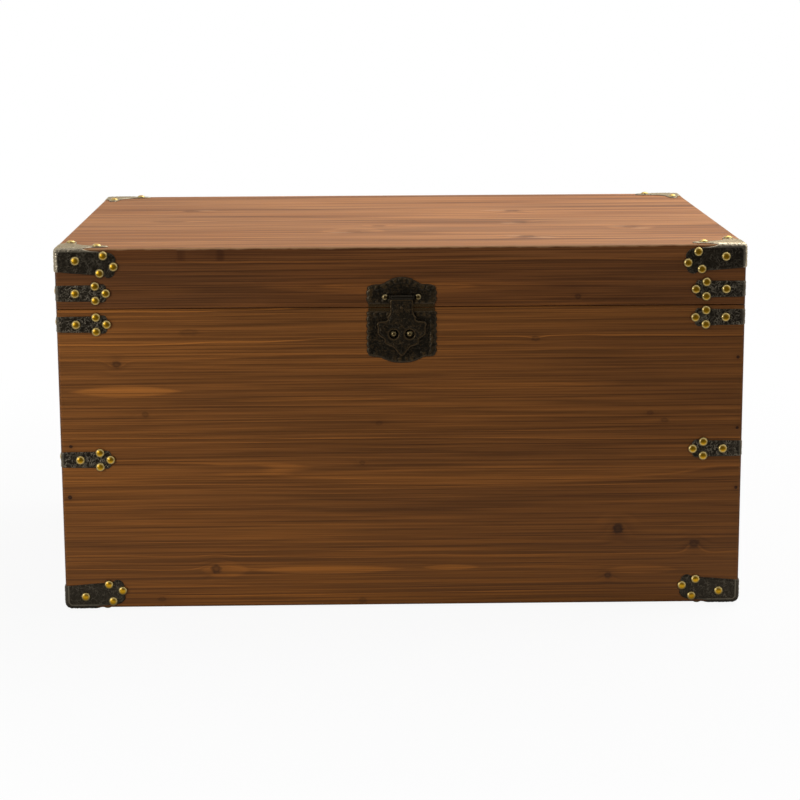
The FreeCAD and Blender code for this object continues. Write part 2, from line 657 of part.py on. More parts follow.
for hand, sign in (("left", "-"), ("right", "")):
    for bulge in ("shoulder", "cheek"):
        centre = (f"{sign}sizes.hasp_{bulge}_offset", FLAP_FRONT, f"{SEAM} - sizes.hasp_{bulge}_drop")
        flap_pieces.append(rod(f"flap_{hand}_{bulge}", "y", centre, f"sizes.hasp_{bulge}_radius", PLATE))
flap_holes = [hasp_bore] + [
    rod(f"flap_{hand}_eye", "y",
        (f"{sign}sizes.hasp_eye_offset", f"{FLAP_FRONT} - sizes.cut_overrun", HASP_EYE_Z),
        "sizes.hasp_eye_radius", f"{PLATE} + 2 * sizes.cut_overrun")
    for hand, sign in (("left", "-"), ("right", ""))]
subparts["hasp_flap"] = cut("hasp_flap", fuse("flap_blank", flap_pieces), fuse("flap_holes", flap_holes))

# Two butt hinges on the back. The chest's leaf has the outer knuckles and the pin, the lid's the middle one.
HINGE_Y = f"({BACK} + sizes.side_clearance + sizes.hinge_knuckle_radius)"
HINGE_MIDDLE = "(sizes.hinge_width * sizes.hinge_middle_share)"
HINGE_OUTER = f"((sizes.hinge_width - {HINGE_MIDDLE}) / 2 - sizes.side_clearance)"
KNUCKLE_ROOM = "(sizes.hinge_knuckle_radius + sizes.side_clearance)"
LEAF = "sizes.hinge_leaf_thickness"
LEAF_FIELD = f"(sizes.hinge_leaf_height - {KNUCKLE_ROOM})"
SCREW_Z = "(sizes.hinge_leaf_height - sizes.hinge_screw_inset)"
hinge_lower_screws = []
hinge_upper_screws = []


def knuckle(name, start_x, length, tongue_low):
    """One knuckle of a hinge with the tongue that ties it to its leaf."""
    return [rod(f"{name}_barrel", "x", (start_x, HINGE_Y, SEAM), "sizes.hinge_knuckle_radius", length),
            box(f"{name}_tongue", (start_x, BACK, tongue_low), (length, LEAF, KNUCKLE_ROOM))]


for hand, sign in (("left", "-"), ("right", "")):
    middle = f"({sign}sizes.hinge_offset)"
    start = f"({middle} - sizes.hinge_width / 2)"
    far = f"({middle} + sizes.hinge_width / 2 - {HINGE_OUTER})"
    bore = rod(f"{hand}_hinge_bore", "x", (f"{start} - sizes.cut_overrun", HINGE_Y, SEAM),
               "sizes.hinge_pin_radius + sizes.running_clearance",
               "sizes.hinge_width + 2 * sizes.cut_overrun")
    below = f"({SEAM} - {KNUCKLE_ROOM})"
    lower = [box(f"{hand}_lower_field", (start, BACK, f"{SEAM} - sizes.hinge_leaf_height"),
                 ("sizes.hinge_width", LEAF, LEAF_FIELD))]
    lower += knuckle(f"{hand}_near_knuckle", start, HINGE_OUTER, below)
    lower += knuckle(f"{hand}_far_knuckle", far, HINGE_OUTER, below)
    upper = [box(f"{hand}_upper_field", (start, BACK, f"{SEAM} + {KNUCKLE_ROOM}"),
                 ("sizes.hinge_width", LEAF, LEAF_FIELD))]
    upper += knuckle(f"{hand}_middle_knuckle", f"{middle} - {HINGE_MIDDLE} / 2", HINGE_MIDDLE, SEAM)
    for leaf, pieces in (("lower", lower), ("upper", upper)):
        name = f"{hand}_hinge_{leaf}_leaf"
        subparts[name] = cut(name, fuse(f"{name}_blank", pieces), bore)
    subparts[f"{hand}_hinge_pin"] = rod(
        f"{hand}_hinge_pin", "x", (f"{start} - sizes.hinge_pin_overhang", HINGE_Y, SEAM),
        "sizes.hinge_pin_radius", "sizes.hinge_width + 2 * sizes.hinge_pin_overhang")
    screw_row = {
        "near": f"{start} + sizes.hinge_screw_inset",
        "middle": middle,
        "far": f"{start} + sizes.hinge_width - sizes.hinge_screw_inset",
    }
    for spot, screw_x in screw_row.items():
        for leaf, screws, way in (("lower", hinge_lower_screws, "-"), ("upper", hinge_upper_screws, "+")):
            screws.append(copy_at(f"{hand}_hinge_{leaf}_screw_{spot}", latch_nail, ALONG["y"],
                                  (screw_x, f"{BACK} + {LEAF}", f"{SEAM} {way} {SCREW_Z}")))
subparts["hinge_lower_screws"] = group("hinge_lower_screws", hinge_lower_screws)
subparts["hinge_upper_screws"] = group("hinge_upper_screws", hinge_upper_screws)

# Drop handle on each end: a plate with two eyes, and a bail whose stubs turn in them.
HANDLE_Z = f"({WOOD_BOTTOM} + sizes.handle_rise)"
EYE_START = "(sizes.bail_width / 2 + sizes.side_clearance)"
STUB_REACH = f"({EYE_START} + sizes.handle_eye_length)"
PLATE_END = "(sizes.handle_plate_length / 2 - sizes.handle_plate_height / 2)"
handle_screws = []
for hand, face, sign, outward in (("left", LEFT, "-", "-x"), ("right", RIGHT, "+", "x")):
    axis_x = f"({face} {sign} sizes.handle_stand)"
    plate_x = f"({face} - sizes.handle_plate_thickness)" if hand == "left" else face
    stem_x = axis_x if hand == "left" else face
    plate_pieces = [box(f"{hand}_plate_field",
                        (plate_x, f"-{PLATE_END}", f"{HANDLE_Z} - sizes.handle_plate_height / 2"),
                        ("sizes.handle_plate_thickness", f"2 * {PLATE_END}", "sizes.handle_plate_height"))]
    for end, end_sign, eye_low in (("front", "-", f"-{STUB_REACH}"), ("back", "", EYE_START)):
        plate_pieces += [
            lobe(f"{hand}_plate_{end}_round", "x", (plate_x, f"{end_sign}{PLATE_END}", HANDLE_Z),
                 "sizes.handle_plate_height / 2", "sizes.handle_plate_thickness"),
            box(f"{hand}_{end}_stem", (stem_x, eye_low, f"{HANDLE_Z} - sizes.handle_eye_radius"),
                ("sizes.handle_stand", "sizes.handle_eye_length", "2 * sizes.handle_eye_radius")),
            lobe(f"{hand}_{end}_eye", "y", (axis_x, eye_low, HANDLE_Z),
                 "sizes.handle_eye_radius", "sizes.handle_eye_length"),
        ]
        for spot, offset in (("outer", "sizes.handle_plate_length / 2 - sizes.handle_screw_inset"),
                             ("inner", "sizes.handle_middle_screw_offset")):
            screw_x = f"{face} {sign} sizes.handle_plate_thickness"
            handle_screws.append(copy_at(f"{hand}_{end}_{spot}_screw", latch_nail, ALONG[outward],
                                         (screw_x, f"{end_sign}({offset})", HANDLE_Z)))
    stub_bore = rod(f"{hand}_stub_bore", "y", (axis_x, f"-{STUB_REACH} - sizes.cut_overrun", HANDLE_Z),
                    "sizes.bail_stub_radius + sizes.running_clearance",
                    f"2 * ({STUB_REACH} + sizes.cut_overrun)")
    subparts[f"{hand}_handle_plate"] = cut(f"{hand}_handle_plate",
                                           fuse(f"{hand}_handle_plate_blank", plate_pieces), stub_bore)
    bail_low = (f"{axis_x} - sizes.bail_thickness / 2", "-sizes.bail_width / 2",
                f"{HANDLE_Z} - sizes.bail_drop")
    bail_outside = rounded_block(f"{hand}_bail_outside", bail_low,
                                 ("sizes.bail_thickness", "sizes.bail_width",
                                  "sizes.bail_drop + sizes.bail_bar / 2"),
                                 "sizes.bail_bend", [("-y", "-z"), ("+y", "-z")])
    bail_inside = rounded_block(f"{hand}_bail_inside",
                                (f"{axis_x} - sizes.bail_thickness",
                                 "-sizes.bail_width / 2 + sizes.bail_bar",
                                 f"{HANDLE_Z} - sizes.bail_drop + sizes.bail_bar"),
                                ("2 * sizes.bail_thickness", "sizes.bail_width - 2 * sizes.bail_bar",
                                 "sizes.bail_drop + sizes.bail_bar"),
                                "sizes.bail_bend - sizes.bail_bar", [("-y", "-z"), ("+y", "-z")])
    bail_bar = cut(f"{hand}_bail_bar", bail_outside, bail_inside)
    stub_length = f"{STUB_REACH} - sizes.bail_width / 2 + sizes.bail_bar / 2"
    stubs = [
        rod(f"{hand}_front_stub", "y", (axis_x, f"-{STUB_REACH}", HANDLE_Z),
            "sizes.bail_stub_radius", stub_length),
        rod(f"{hand}_back_stub", "y", (axis_x, "sizes.bail_width / 2 - sizes.bail_bar / 2", HANDLE_Z),
            "sizes.bail_stub_radius", stub_length),
    ]
    subparts[f"{hand}_handle_bail"] = fuse(f"{hand}_handle_bail", [bail_bar] + stubs)
subparts["handle_screws"] = group("handle_screws", handle_screws)

# Lid stay on the right end. The arm hangs from a pivot on the lid, and its slot slides over a stud on the
# chest. Pivot and stud are equally far from the hinge, so the arm turns half as much as the lid.
STAY_WALL = f"({RIGHT} - {THICK})"
STAY_OUTER = f"({STAY_WALL} - sizes.stay_wall_gap)"
STAY_INNER = f"({STAY_OUTER} - sizes.stay_thickness)"
STAY_Y = f"({HINGE_Y} - sqrt(sizes.stay_swing_radius ^ 2 - sizes.stay_pivot_rise ^ 2))"
PIVOT_Z = f"({SEAM} + sizes.stay_pivot_rise)"
STUD_Z = f"({SEAM} - sizes.stay_pivot_rise)"
SLOT_END_Z = f"({PIVOT_Z} - sizes.stay_open_reach)"
SLOT_RADIUS = "(sizes.stay_stud_radius + sizes.side_clearance)"


def stay_stud(name, height):
    """A headed stud in the right end that carries or guides the arm."""
    head_x = f"({STAY_INNER} - sizes.side_clearance)"
    return fuse(name, [
        rod(f"{name}_shank", "-x", (STAY_WALL, STAY_Y, height),
            "sizes.stay_stud_radius", f"{STAY_WALL} - {head_x}"),
        lobe(f"{name}_collar", "-x", (STAY_WALL, STAY_Y, height), "sizes.stay_stud_head_radius",
             "sizes.stay_wall_gap - sizes.side_clearance"),
        lobe(f"{name}_head", "-x", (head_x, STAY_Y, height), "sizes.stay_stud_head_radius",
             "sizes.stay_stud_head_thickness")])


subparts["stay_pivot"] = stay_stud("stay_pivot", PIVOT_Z)
subparts["stay_stud"] = stay_stud("stay_stud", STUD_Z)


def stay_shape(name, low_x, thickness, half_width, top_z, bottom_z):
    """A flat bar with round ends, as wide as twice its half width, hanging in the stay's plane."""
    return fuse(name, [
        box(f"{name}_field", (low_x, f"{STAY_Y} - {half_width}", bottom_z),
            (thickness, f"2 * {half_width}", f"{top_z} - {bottom_z}")),
        rod(f"{name}_top", "x", (low_x, STAY_Y, top_z), half_width, thickness),
        rod(f"{name}_bottom", "x", (low_x, STAY_Y, bottom_z), half_width, thickness)])


stay_blank = stay_shape("stay_blank", STAY_INNER, "sizes.stay_thickness", "sizes.stay_half_width",
                        PIVOT_Z, SLOT_END_Z)
stay_slot = stay_shape("stay_slot", f"{STAY_INNER} - sizes.cut_overrun",
                       "sizes.stay_thickness + 2 * sizes.cut_overrun", SLOT_RADIUS, STUD_Z, SLOT_END_Z)
stay_hole = rod("stay_hole", "x", (f"{STAY_INNER} - sizes.cut_overrun", STAY_Y, PIVOT_Z),
                "sizes.stay_stud_radius + sizes.running_clearance",
                "sizes.stay_thickness + 2 * sizes.cut_overrun")
subparts["stay_arm"] = cut("stay_arm", stay_blank, fuse("stay_openings", [stay_slot, stay_hole]))

# Check every object, then write each piece to its own file.
doc.recompute()
for item in doc.Objects:
    if "Invalid" in item.State or "Error" in item.State:
        raise RuntimeError(f"{item.Label} failed: {item.State}")
for name, item in subparts.items():
    item.Label = name
    if item.Shape.isNull() or not item.Shape.isValid() or not item.Shape.Solids:
        raise RuntimeError(f"{name} has no valid solid")
os.makedirs("parts", exist_ok=True)
for name, item in subparts.items():
    Part.makeCompound(item.Shape.Solids).exportStep(f"parts/{name}.step")
    print(name, len(item.Shape.Solids), "solids")
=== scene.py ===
import bmesh
import bpy
import math
import numpy as np
from mathutils import Matrix, Vector, noise
from mathutils.geometry import delaunay_2d_cdt


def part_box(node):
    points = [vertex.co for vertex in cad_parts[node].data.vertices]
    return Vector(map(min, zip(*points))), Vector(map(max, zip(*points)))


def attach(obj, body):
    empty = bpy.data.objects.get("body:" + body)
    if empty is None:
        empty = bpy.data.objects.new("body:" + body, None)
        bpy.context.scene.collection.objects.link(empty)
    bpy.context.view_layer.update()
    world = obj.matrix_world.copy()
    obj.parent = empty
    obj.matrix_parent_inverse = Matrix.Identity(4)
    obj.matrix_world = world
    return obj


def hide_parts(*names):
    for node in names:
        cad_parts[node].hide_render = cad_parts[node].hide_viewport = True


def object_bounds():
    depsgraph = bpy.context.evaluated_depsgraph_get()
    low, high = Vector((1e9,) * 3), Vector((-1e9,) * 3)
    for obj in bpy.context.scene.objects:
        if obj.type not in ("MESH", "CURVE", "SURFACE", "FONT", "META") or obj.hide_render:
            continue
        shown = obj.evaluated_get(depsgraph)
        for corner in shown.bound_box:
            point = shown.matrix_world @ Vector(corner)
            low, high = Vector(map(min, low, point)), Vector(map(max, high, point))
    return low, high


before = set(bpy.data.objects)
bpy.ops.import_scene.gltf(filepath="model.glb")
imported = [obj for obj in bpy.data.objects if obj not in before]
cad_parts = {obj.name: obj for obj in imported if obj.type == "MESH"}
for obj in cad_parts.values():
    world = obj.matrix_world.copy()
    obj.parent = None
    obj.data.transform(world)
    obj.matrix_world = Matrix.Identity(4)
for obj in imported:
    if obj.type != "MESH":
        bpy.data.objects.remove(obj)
cad_low, cad_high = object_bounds()

# Front wall: two pine boards glued edge to edge, planed, stained brown and waxed.
# Their ends lap over the end boards and are nailed there, beside the iron corners.
MM = 0.001
BOARD_ROUND = 5.0 * MM
BOARD_ROUND_STEPS = 4
SHARP_TURN = math.radians(40)
# Shares of the full rounding for edges that hands reach more or less.
SOFT_SHARE = 0.68
FIRM_SHARE = 0.32
EASED_SHARE = 0.18
CRISP_SHARE = 0.03


def as_seen(red, green, blue):
    """A colour as it looks on a screen, 0 to 255, turned into the renderer's own scale."""
    scaled = [part / 255 for part in (red, green, blue)]
    linear = [s / 12.92 if s <= 0.04045 else ((s + 0.055) / 1.055) ** 2.4 for s in scaled]
    return (*linear, 1.0)


def new_piece(mesh, body, node, finish):
    """Put a finished mesh into the scene as the piece that stands for one of the frame's nodes.
    """
    piece = bpy.data.objects.new(mesh.name, mesh)
    bpy.context.scene.collection.objects.link(piece)
    mesh.materials.clear()
    mesh.materials.append(finish)
    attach(piece, body)
    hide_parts(node)
    return piece


def kept_mesh(shape, name, smooth=True, outward=False):
    """The mesh of a shape that has been built, its faces smooth and turned outward as asked."""
    if outward:
        bmesh.ops.recalc_face_normals(shape, faces=shape.faces)
    if smooth:
        for face in shape.faces:
            face.smooth = True
    mesh = bpy.data.meshes.new(name)
    shape.to_mesh(mesh)
    shape.free()
    return mesh


def block(low, high):
    """The plain block between two corners, to be worked further."""
    shape = bmesh.new()
    bmesh.ops.create_cube(shape, size=1)
    for corner in shape.verts:
        corner.co = [high[axis] if corner.co[axis] > 0 else low[axis] for axis in range(3)]
    return shape


def soften(piece, width, steps, method):
    """Round a piece's edges, by the share marked on each edge or wherever its faces turn sharply."""
    rounding = piece.modifiers.new("rounded_edges", "BEVEL")
    rounding.limit_method = method
    rounding.angle_limit = SHARP_TURN
    rounding.width = width
    rounding.segments = steps
    rounding.harden_normals = True


def on_side(edge, side, low, high):
    """Whether an edge lies on one side of a board, such as -y or +z."""
    axis = "xyz".index(side[1])
    limit = high[axis] if side[0] == "+" else low[axis]
    return all(abs(end.co[axis] - limit) < MM / 100 for end in edge.verts)


def lies_on(edge, pairs, low, high):
    """Whether an edge lies on both sides of one of the given pairs."""
    return any(on_side(edge, one, low, high) and on_side(edge, two, low, high) for one, two in pairs)


def planed_board(node, body, finish, soft=(), firm=(), eased=(), broad=()):
    """A board in its node's place; its edges, as pairs of sides, are rounded more or less, or left crisp."""
    low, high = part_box(node)
    blank = block(low, high)
    rounding = blank.edges.layers.float.new("bevel_weight_edge")
    for edge in blank.edges:
        edge[rounding] = CRISP_SHARE
        for pairs, share in ((eased, EASED_SHARE), (firm, FIRM_SHARE), (soft, SOFT_SHARE), (broad, 1.0)):
            if lies_on(edge, pairs, low, high):
                edge[rounding] = share
    board = new_piece(kept_mesh(blank, f"{node}_planed"), body, node, finish)
    soften(board, BOARD_ROUND, BOARD_ROUND_STEPS, "WEIGHT")


def fit(tree, kind, sockets=None, **settings):
    """Put one node into a tree; each socket gets a plain value or the output that feeds it."""
    node = tree.nodes.new(kind)
    for key, value in settings.items():
        setattr(node, key, value)
    for key, value in (sockets or {}).items():
        if isinstance(value, bpy.types.NodeSocket):
            tree.links.new(value, node.inputs[key])
        else:
            node.inputs[key].default_value = value
    return node


def tree_of(*terms):
    """The node tree of the first output among some terms."""
    return next(term.id_data for term in terms if isinstance(term, bpy.types.NodeSocket))


def reckon(operation, *terms):
    """The result of one sum on plain numbers."""
    return fit(tree_of(*terms), "ShaderNodeMath", dict(enumerate(terms)), operation=operation).outputs[0]


def steer(operation, *terms, result="Vector"):
    """The result of one sum on places or directions."""
    return fit(tree_of(*terms), "ShaderNodeVectorMath", dict(enumerate(terms)),
               operation=operation).outputs[result]


def split(place):
    """The three parts of a place."""
    return fit(place.id_data, "ShaderNodeSeparateXYZ", {0: place}).outputs


def between(value, start, end, low=0.0, high=1.0):
    """A smooth rise from low to high as a value goes from start to end."""
    return fit(value.id_data, "ShaderNodeMapRange",
               {"Value": value, "From Min": start, "From Max": end, "To Min": low, "To Max": high},
               interpolation_type="SMOOTHSTEP").outputs["Result"]


def mingle(amount, first, second, way="MIX"):
    """Two colours mixed by an amount."""
    return fit(tree_of(amount, first, second), "ShaderNodeMix", {0: amount, 6: first, 7: second},
               data_type="RGBA", blend_type=way).outputs[2]


def shade(colour, amount):
    """A colour made darker or lighter by a plain number."""
    grey = fit(colour.id_data, "ShaderNodeCombineColor", {0: amount, 1: amount, 2: amount})
    return mingle(1.0, colour, grey.outputs[0], "MULTIPLY")


def cloudy(place, stretch, shift, detail=2.0):
    """Soft noise, 0 to 1, stretched along the three directions."""
    moved = steer("MULTIPLY_ADD", place, stretch, shift)
    return fit(place.id_data, "ShaderNodeTexNoise",
               {"Vector": moved, "Scale": 1.0, "Detail": detail}).outputs["Fac"]


def new_effect(name, places, numbers, outputs):
    """An empty shader group; its inputs are places or plain numbers, its outputs plain numbers."""
    tree = bpy.data.node_groups.new(name, "ShaderNodeTree")
    for labels, way, kind in ((places, "INPUT", "Vector"), (numbers, "INPUT", "Float"),
                              (outputs, "OUTPUT", "Float")):
        for label in labels:
            tree.interface.new_socket(label, in_out=way, socket_type=f"NodeSocket{kind}")
    return tree, tree.nodes.new("NodeGroupInput").outputs, tree.nodes.new("NodeGroupOutput").inputs


def put_out(result, values):
    """Feed the named outputs of a shader group."""
    for label, value in values.items():
        value.id_data.links.new(value, result[label])


def place_effect(tree, effect, sockets):
    """One use of a shader group in a material; returns its outputs."""
    return fit(tree, "ShaderNodeGroup", sockets, node_tree=effect).outputs


def new_finish(name):
    """An empty material and its node tree."""
    finish = bpy.data.materials.new(name)
    finish.use_nodes = True
    finish.node_tree.nodes.clear()
    return finish, finish.node_tree


def end_finish(tree, sockets):
    """Close a material with its surface shader."""
    shader = fit(tree, "ShaderNodeBsdfPrincipled", sockets)
    fit(tree, "ShaderNodeOutputMaterial", {"Surface": shader.outputs[0]})


# Growth rings of a plain-sawn board: distance from a wandering pith, cut into rings with a dark late edge
# that ends in a hard pale line. The fibre is finer than the rings; clouds and streaks belong to the stain.
RING_WANDER = 36.0 * MM
RING_RIPPLE = 3.4 * MM
pine_rings, given, result = new_effect(
    "pine_rings", ("Place", "Pith", "Seed", "Streak place"), ("Ring width", "Swell"),
    ("Late wood", "Pale line", "Fibre", "Cloud", "Streak"))
place, seed = given["Place"], given["Seed"]
wander = reckon("SUBTRACT", cloudy(place, (1.1, 3.0, 3.0), seed, 1.0), 0.5)
ripple = reckon("SUBTRACT", cloudy(place, (7.0, 45.0, 45.0), seed), 0.5)
from_pith = split(steer("SUBTRACT", place, given["Pith"]))
across = reckon("ADD", from_pith[1], reckon("MULTIPLY", wander, RING_WANDER))
away = reckon("SQRT", reckon("ADD", reckon("POWER", across, 2.0), reckon("POWER", from_pith[2], 2.0)))
away = reckon("ADD", reckon("ADD", away, reckon("MULTIPLY", ripple, RING_RIPPLE)), given["Swell"])
count = reckon("DIVIDE", away, given["Ring width"])
part = reckon("FRACT", count)
year = fit(pine_rings, "ShaderNodeTexWhiteNoise", {"W": reckon("FLOOR", count)},
           noise_dimensions="1D").outputs["Value"]
year_end = between(part, 0.86, 1.0, 1.0, 0.0)
late = reckon("MULTIPLY", between(part, 0.15, 0.84), year_end)
hard = reckon("MULTIPLY", between(part, 0.66, 0.84), year_end)
put_out(result, {"Late wood": reckon("MULTIPLY", late, between(year, 0.0, 1.0, 0.25, 1.0)),
                 "Pale line": reckon("MULTIPLY", hard, between(year, 0.3, 0.9)),
                 "Fibre": cloudy(place, (5.0, 620.0, 620.0), seed, 3.0),
                 "Cloud": cloudy(place, (2.6, 9.0, 9.0), seed),
                 "Streak": cloudy(given["Streak place"], (1.0, 1.0, 1.0), seed, 3.0)})

# A place where the grain parts: a knot, or the eye left by one below the surface. It swells the rings
# around it; a knot has a dark core with a paler heart, an eye is a lens-shaped patch of plain wood.
grain_eye, given, result = new_effect(
    "grain_eye", ("Place", "Centre", "Reach"), ("Lift", "Core size", "Dark", "Swell", "Core", "Halo"),
    ("Swell", "Core", "Halo", "Patch"))
offset = steer("DIVIDE", steer("SUBTRACT", given["Place"], given["Centre"]), given["Reach"])
offset = steer("MULTIPLY", offset, (1.0, 1.0, 0.0))
square = steer("DOT_PRODUCT", offset, offset, result="Value")
halo = reckon("EXPONENT", reckon("MULTIPLY", square, -1.0))
ragged = reckon("SUBTRACT", cloudy(given["Place"], (160.0, 260.0, 0.0), (0.0, 0.0, 0.0)), 0.5)
rim = reckon("ADD", reckon("SQRT", square), reckon("MULTIPLY", ragged, given["Core size"]))
rim = reckon("DIVIDE", rim, given["Core size"])
core = reckon("MULTIPLY", between(rim, 0.6, 1.3, 1.0, 0.0), between(rim, 0.1, 0.7, 0.7, 1.0))
reach = split(offset)
lens = reckon("ADD", reckon("ABSOLUTE", reach[1]), reckon("POWER", reach[0], 2.0))
put_out(result, {"Swell": reckon("MULTIPLY_ADD", halo, given["Lift"], given["Swell"]),
                 "Core": reckon("MAXIMUM", reckon("MULTIPLY", core, given["Dark"]), given["Core"]),
                 "Halo": reckon("MAXIMUM", reckon("MULTIPLY", halo, given["Dark"]), given["Halo"]),
                 "Patch": between(lens, 0.55, 1.0, 1.0, 0.0)})

# Edges of a board: how near a point is to an edge of the block between two corners, where hands have smoothed
# it and the top has a painted highlight, and how near to an upright side, where the top has painted shade.
edge_rub, given, result = new_effect("edge_rub", ("Place", "Low", "High"), ("Width",), ("Rub", "Side"))
depth = split(steer("MINIMUM", steer("SUBTRACT", given["Place"], given["Low"]),
                    steer("SUBTRACT", given["High"], given["Place"])))
nearest = reckon("MINIMUM", depth[0], depth[1])
second = reckon("MINIMUM", reckon("MAXIMUM", depth[0], depth[1]), depth[2])
uneven = cloudy(given["Place"], (55.0, 55.0, 55.0), (3.0, 1.0, 2.0))
second = reckon("DIVIDE", reckon("MAXIMUM", nearest, second),
                reckon("MULTIPLY_ADD", uneven, given["Width"], MM / 2))
put_out(result, {"Rub": between(second, 0.2, 1.0, 1.0, 0.0),
                 "Side": between(nearest, 0.6 * MM, 2.4 * MM, 1.0, 0.0)})
KNOT_CORE = 0.42
EYE_CORE = 0.01
EDGE_BAND_WIDTH = 4.5 * MM
GRAIN_DEPTH = 0.25 * MM


def pine_finish(name, axes, seed, pith, ring, node, tones, knots=(), eyes=(), soft_edges=()):
    """Stained pine; axes names the directions along the grain, across the face and into the wood."""
    finish, tree = new_finish(name)
    where = fit(tree, "ShaderNodeTexCoord").outputs["Object"]
    parts = split(where)
    place = fit(tree, "ShaderNodeCombineXYZ",
                {slot: parts["xyz".index(axis)] for slot, axis in enumerate(axes)}).outputs[0]
    swell, core, halo, light = 0.0, 0.0, 0.0, 0.0
    for along, across, length, height, lift, dark in knots:
        swell, core, halo, _ = place_effect(tree, grain_eye, {
            "Place": place, "Centre": (along, across, 0.0),
            "Reach": (length / KNOT_CORE, height / KNOT_CORE, 1.0), "Lift": lift, "Core size": KNOT_CORE,
            "Dark": dark, "Swell": swell, "Core": core, "Halo": halo})
    for along, across, length, height, lift, glow in eyes:
        swell, _, _, patch = place_effect(tree, grain_eye, {
            "Place": place, "Centre": (along, across, 0.0), "Reach": (length, height, 1.0),
            "Lift": lift, "Core size": EYE_CORE, "Dark": 0.0, "Swell": swell, "Core": 0.0, "Halo": 0.0})
        light = reckon("MULTIPLY_ADD", patch, glow, light)
    rings = place_effect(tree, pine_rings, {
        "Place": place, "Pith": (0.0, *pith), "Ring width": ring, "Swell": swell,
        "Seed": (seed, 1.7 * seed, 2.3 * seed), "Streak place": steer("MULTIPLY", place, tones["streaks"])})
    late = reckon("MULTIPLY", rings["Late wood"], tones["figure"])
    pale = reckon("MULTIPLY", rings["Pale line"], tones["pale_share"])
    colour = mingle(late, tones["early"], tones["late"])
    colour = mingle(between(rings["Cloud"], 0.3, 0.75, 0.0, tones["cloud_share"]), colour, tones["cloud"])
    colour = mingle(between(rings["Streak"], 0.5, 0.7, 0.0, tones["streak_share"]), colour, tones["late"])
    colour = mingle(between(rings["Streak"], 0.48, 0.3, 0.0, tones["streak_share"]), colour, tones["early"])
    colour = mingle(pale, colour, tones["glow"])
    colour = mingle(light, colour, tones["glow"])
    if knots:
        colour = mingle(reckon("MULTIPLY", halo, 0.3), colour, tones["late"])
        colour = mingle(core, colour, tones["knot"])
    colour = shade(colour, between(rings["Fibre"], 0.28, 0.72, 0.6, 1.34))
    # Painted light: the colour is made darker or brighter along the board, for light that falls unevenly.
    if "light_drift" in tones:
        colour = shade(colour, between(parts["X"], *tones["light_drift"]))
    # A side that is not free is reckoned a metre off, so that it never counts as an edge.
    low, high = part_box(node)
    free = {side for pair in soft_edges for side in pair}
    low = [low[axis] - (f"-{letter}" not in free) for axis, letter in enumerate("xyz")]
    high = [high[axis] + (f"+{letter}" not in free) for axis, letter in enumerate("xyz")]
    edges = place_effect(tree, edge_rub, {"Place": where, "Low": low, "High": high, "Width": EDGE_BAND_WIDTH})
    # Painted shade on the upright faces of the top's rounded edges; the top's pale edge is also a painted
    # highlight.
    if "side" in tones:
        colour = mingle(edges["Side"], colour, mingle(1.0, colour, tones["side"], "MULTIPLY"))
    colour = mingle(reckon("MULTIPLY", edges["Rub"], tones["rub_and_sheen_share"]), colour, tones["rub"])
    sheen = reckon("ADD", between(rings["Fibre"], 0.2, 0.8, *tones["rough"]), reckon("MULTIPLY", late, -0.06))
    height = reckon("SUBTRACT", reckon("MULTIPLY", rings["Fibre"], 0.6),
                    reckon("MULTIPLY", rings["Late wood"], -0.35))
    grain = fit(tree, "ShaderNodeBump", {"Height": height, "Strength": 0.35, "Distance": GRAIN_DEPTH})
    end_finish(tree, {"Base Color": colour, "Roughness": sheen, "Normal": grain.outputs[0],
                      "Specular IOR Level": tones["wax"]})
    return finish


# Tones of the wood and the share that each one has: early and late wood, the stain's clouds, pale wood, knots
# and edges, darker on the walls and paler on the top, where the pale edge is also a painted highlight. The
# brightness at two places along the board is painted light: darker or brighter colour for light that falls
# unevenly.
BOARD_RING = 3.6 * MM
FRONT_TONES = {
    "early": as_seen(148, 90, 34), "late": as_seen(92, 52, 17), "figure": 0.62, "pale_share": 0.8,
    "cloud": as_seen(116, 71, 30), "cloud_share": 0.6, "glow": as_seen(186, 114, 44),
    "knot": as_seen(44, 25, 11), "rub": as_seen(52, 31, 15), "rub_and_sheen_share": 0.5,
    "streaks": (1.8, 420.0, 420.0), "streak_share": 0.35, "rough": (0.4, 0.54), "wax": 0.2,
    "light_drift": (-0.35, 0.40, 0.94, 0.68),
}
# Knots as place along the front and height, half length, half height, how far they part the grain, and
# how dark they are. The smallest are nail holes.
LOWER_KNOTS = [
    (-0.047, 0.1779, 0.0035, 0.0030, 0.002, 0.35), (-0.221, 0.0504, 0.0060, 0.0055, 0.004, 0.65),
    (-0.286, 0.0143, 0.0050, 0.0030, 0.000, 0.35), (-0.048, 0.0105, 0.0050, 0.0035, 0.000, 0.30),
    (0.255, 0.0954, 0.0065, 0.0060, 0.005, 0.80), (0.346, 0.0759, 0.0060, 0.0055, 0.004, 0.60),
    (0.244, 0.0383, 0.0045, 0.0040, 0.003, 0.60), (-0.388, 0.2003, 0.0022, 0.0020, 0.000, 1.00),
    (-0.391, 0.1392, 0.0024, 0.0022, 0.000, 1.00), (0.394, 0.1442, 0.0018, 0.0018, 0.000, 1.00),
]
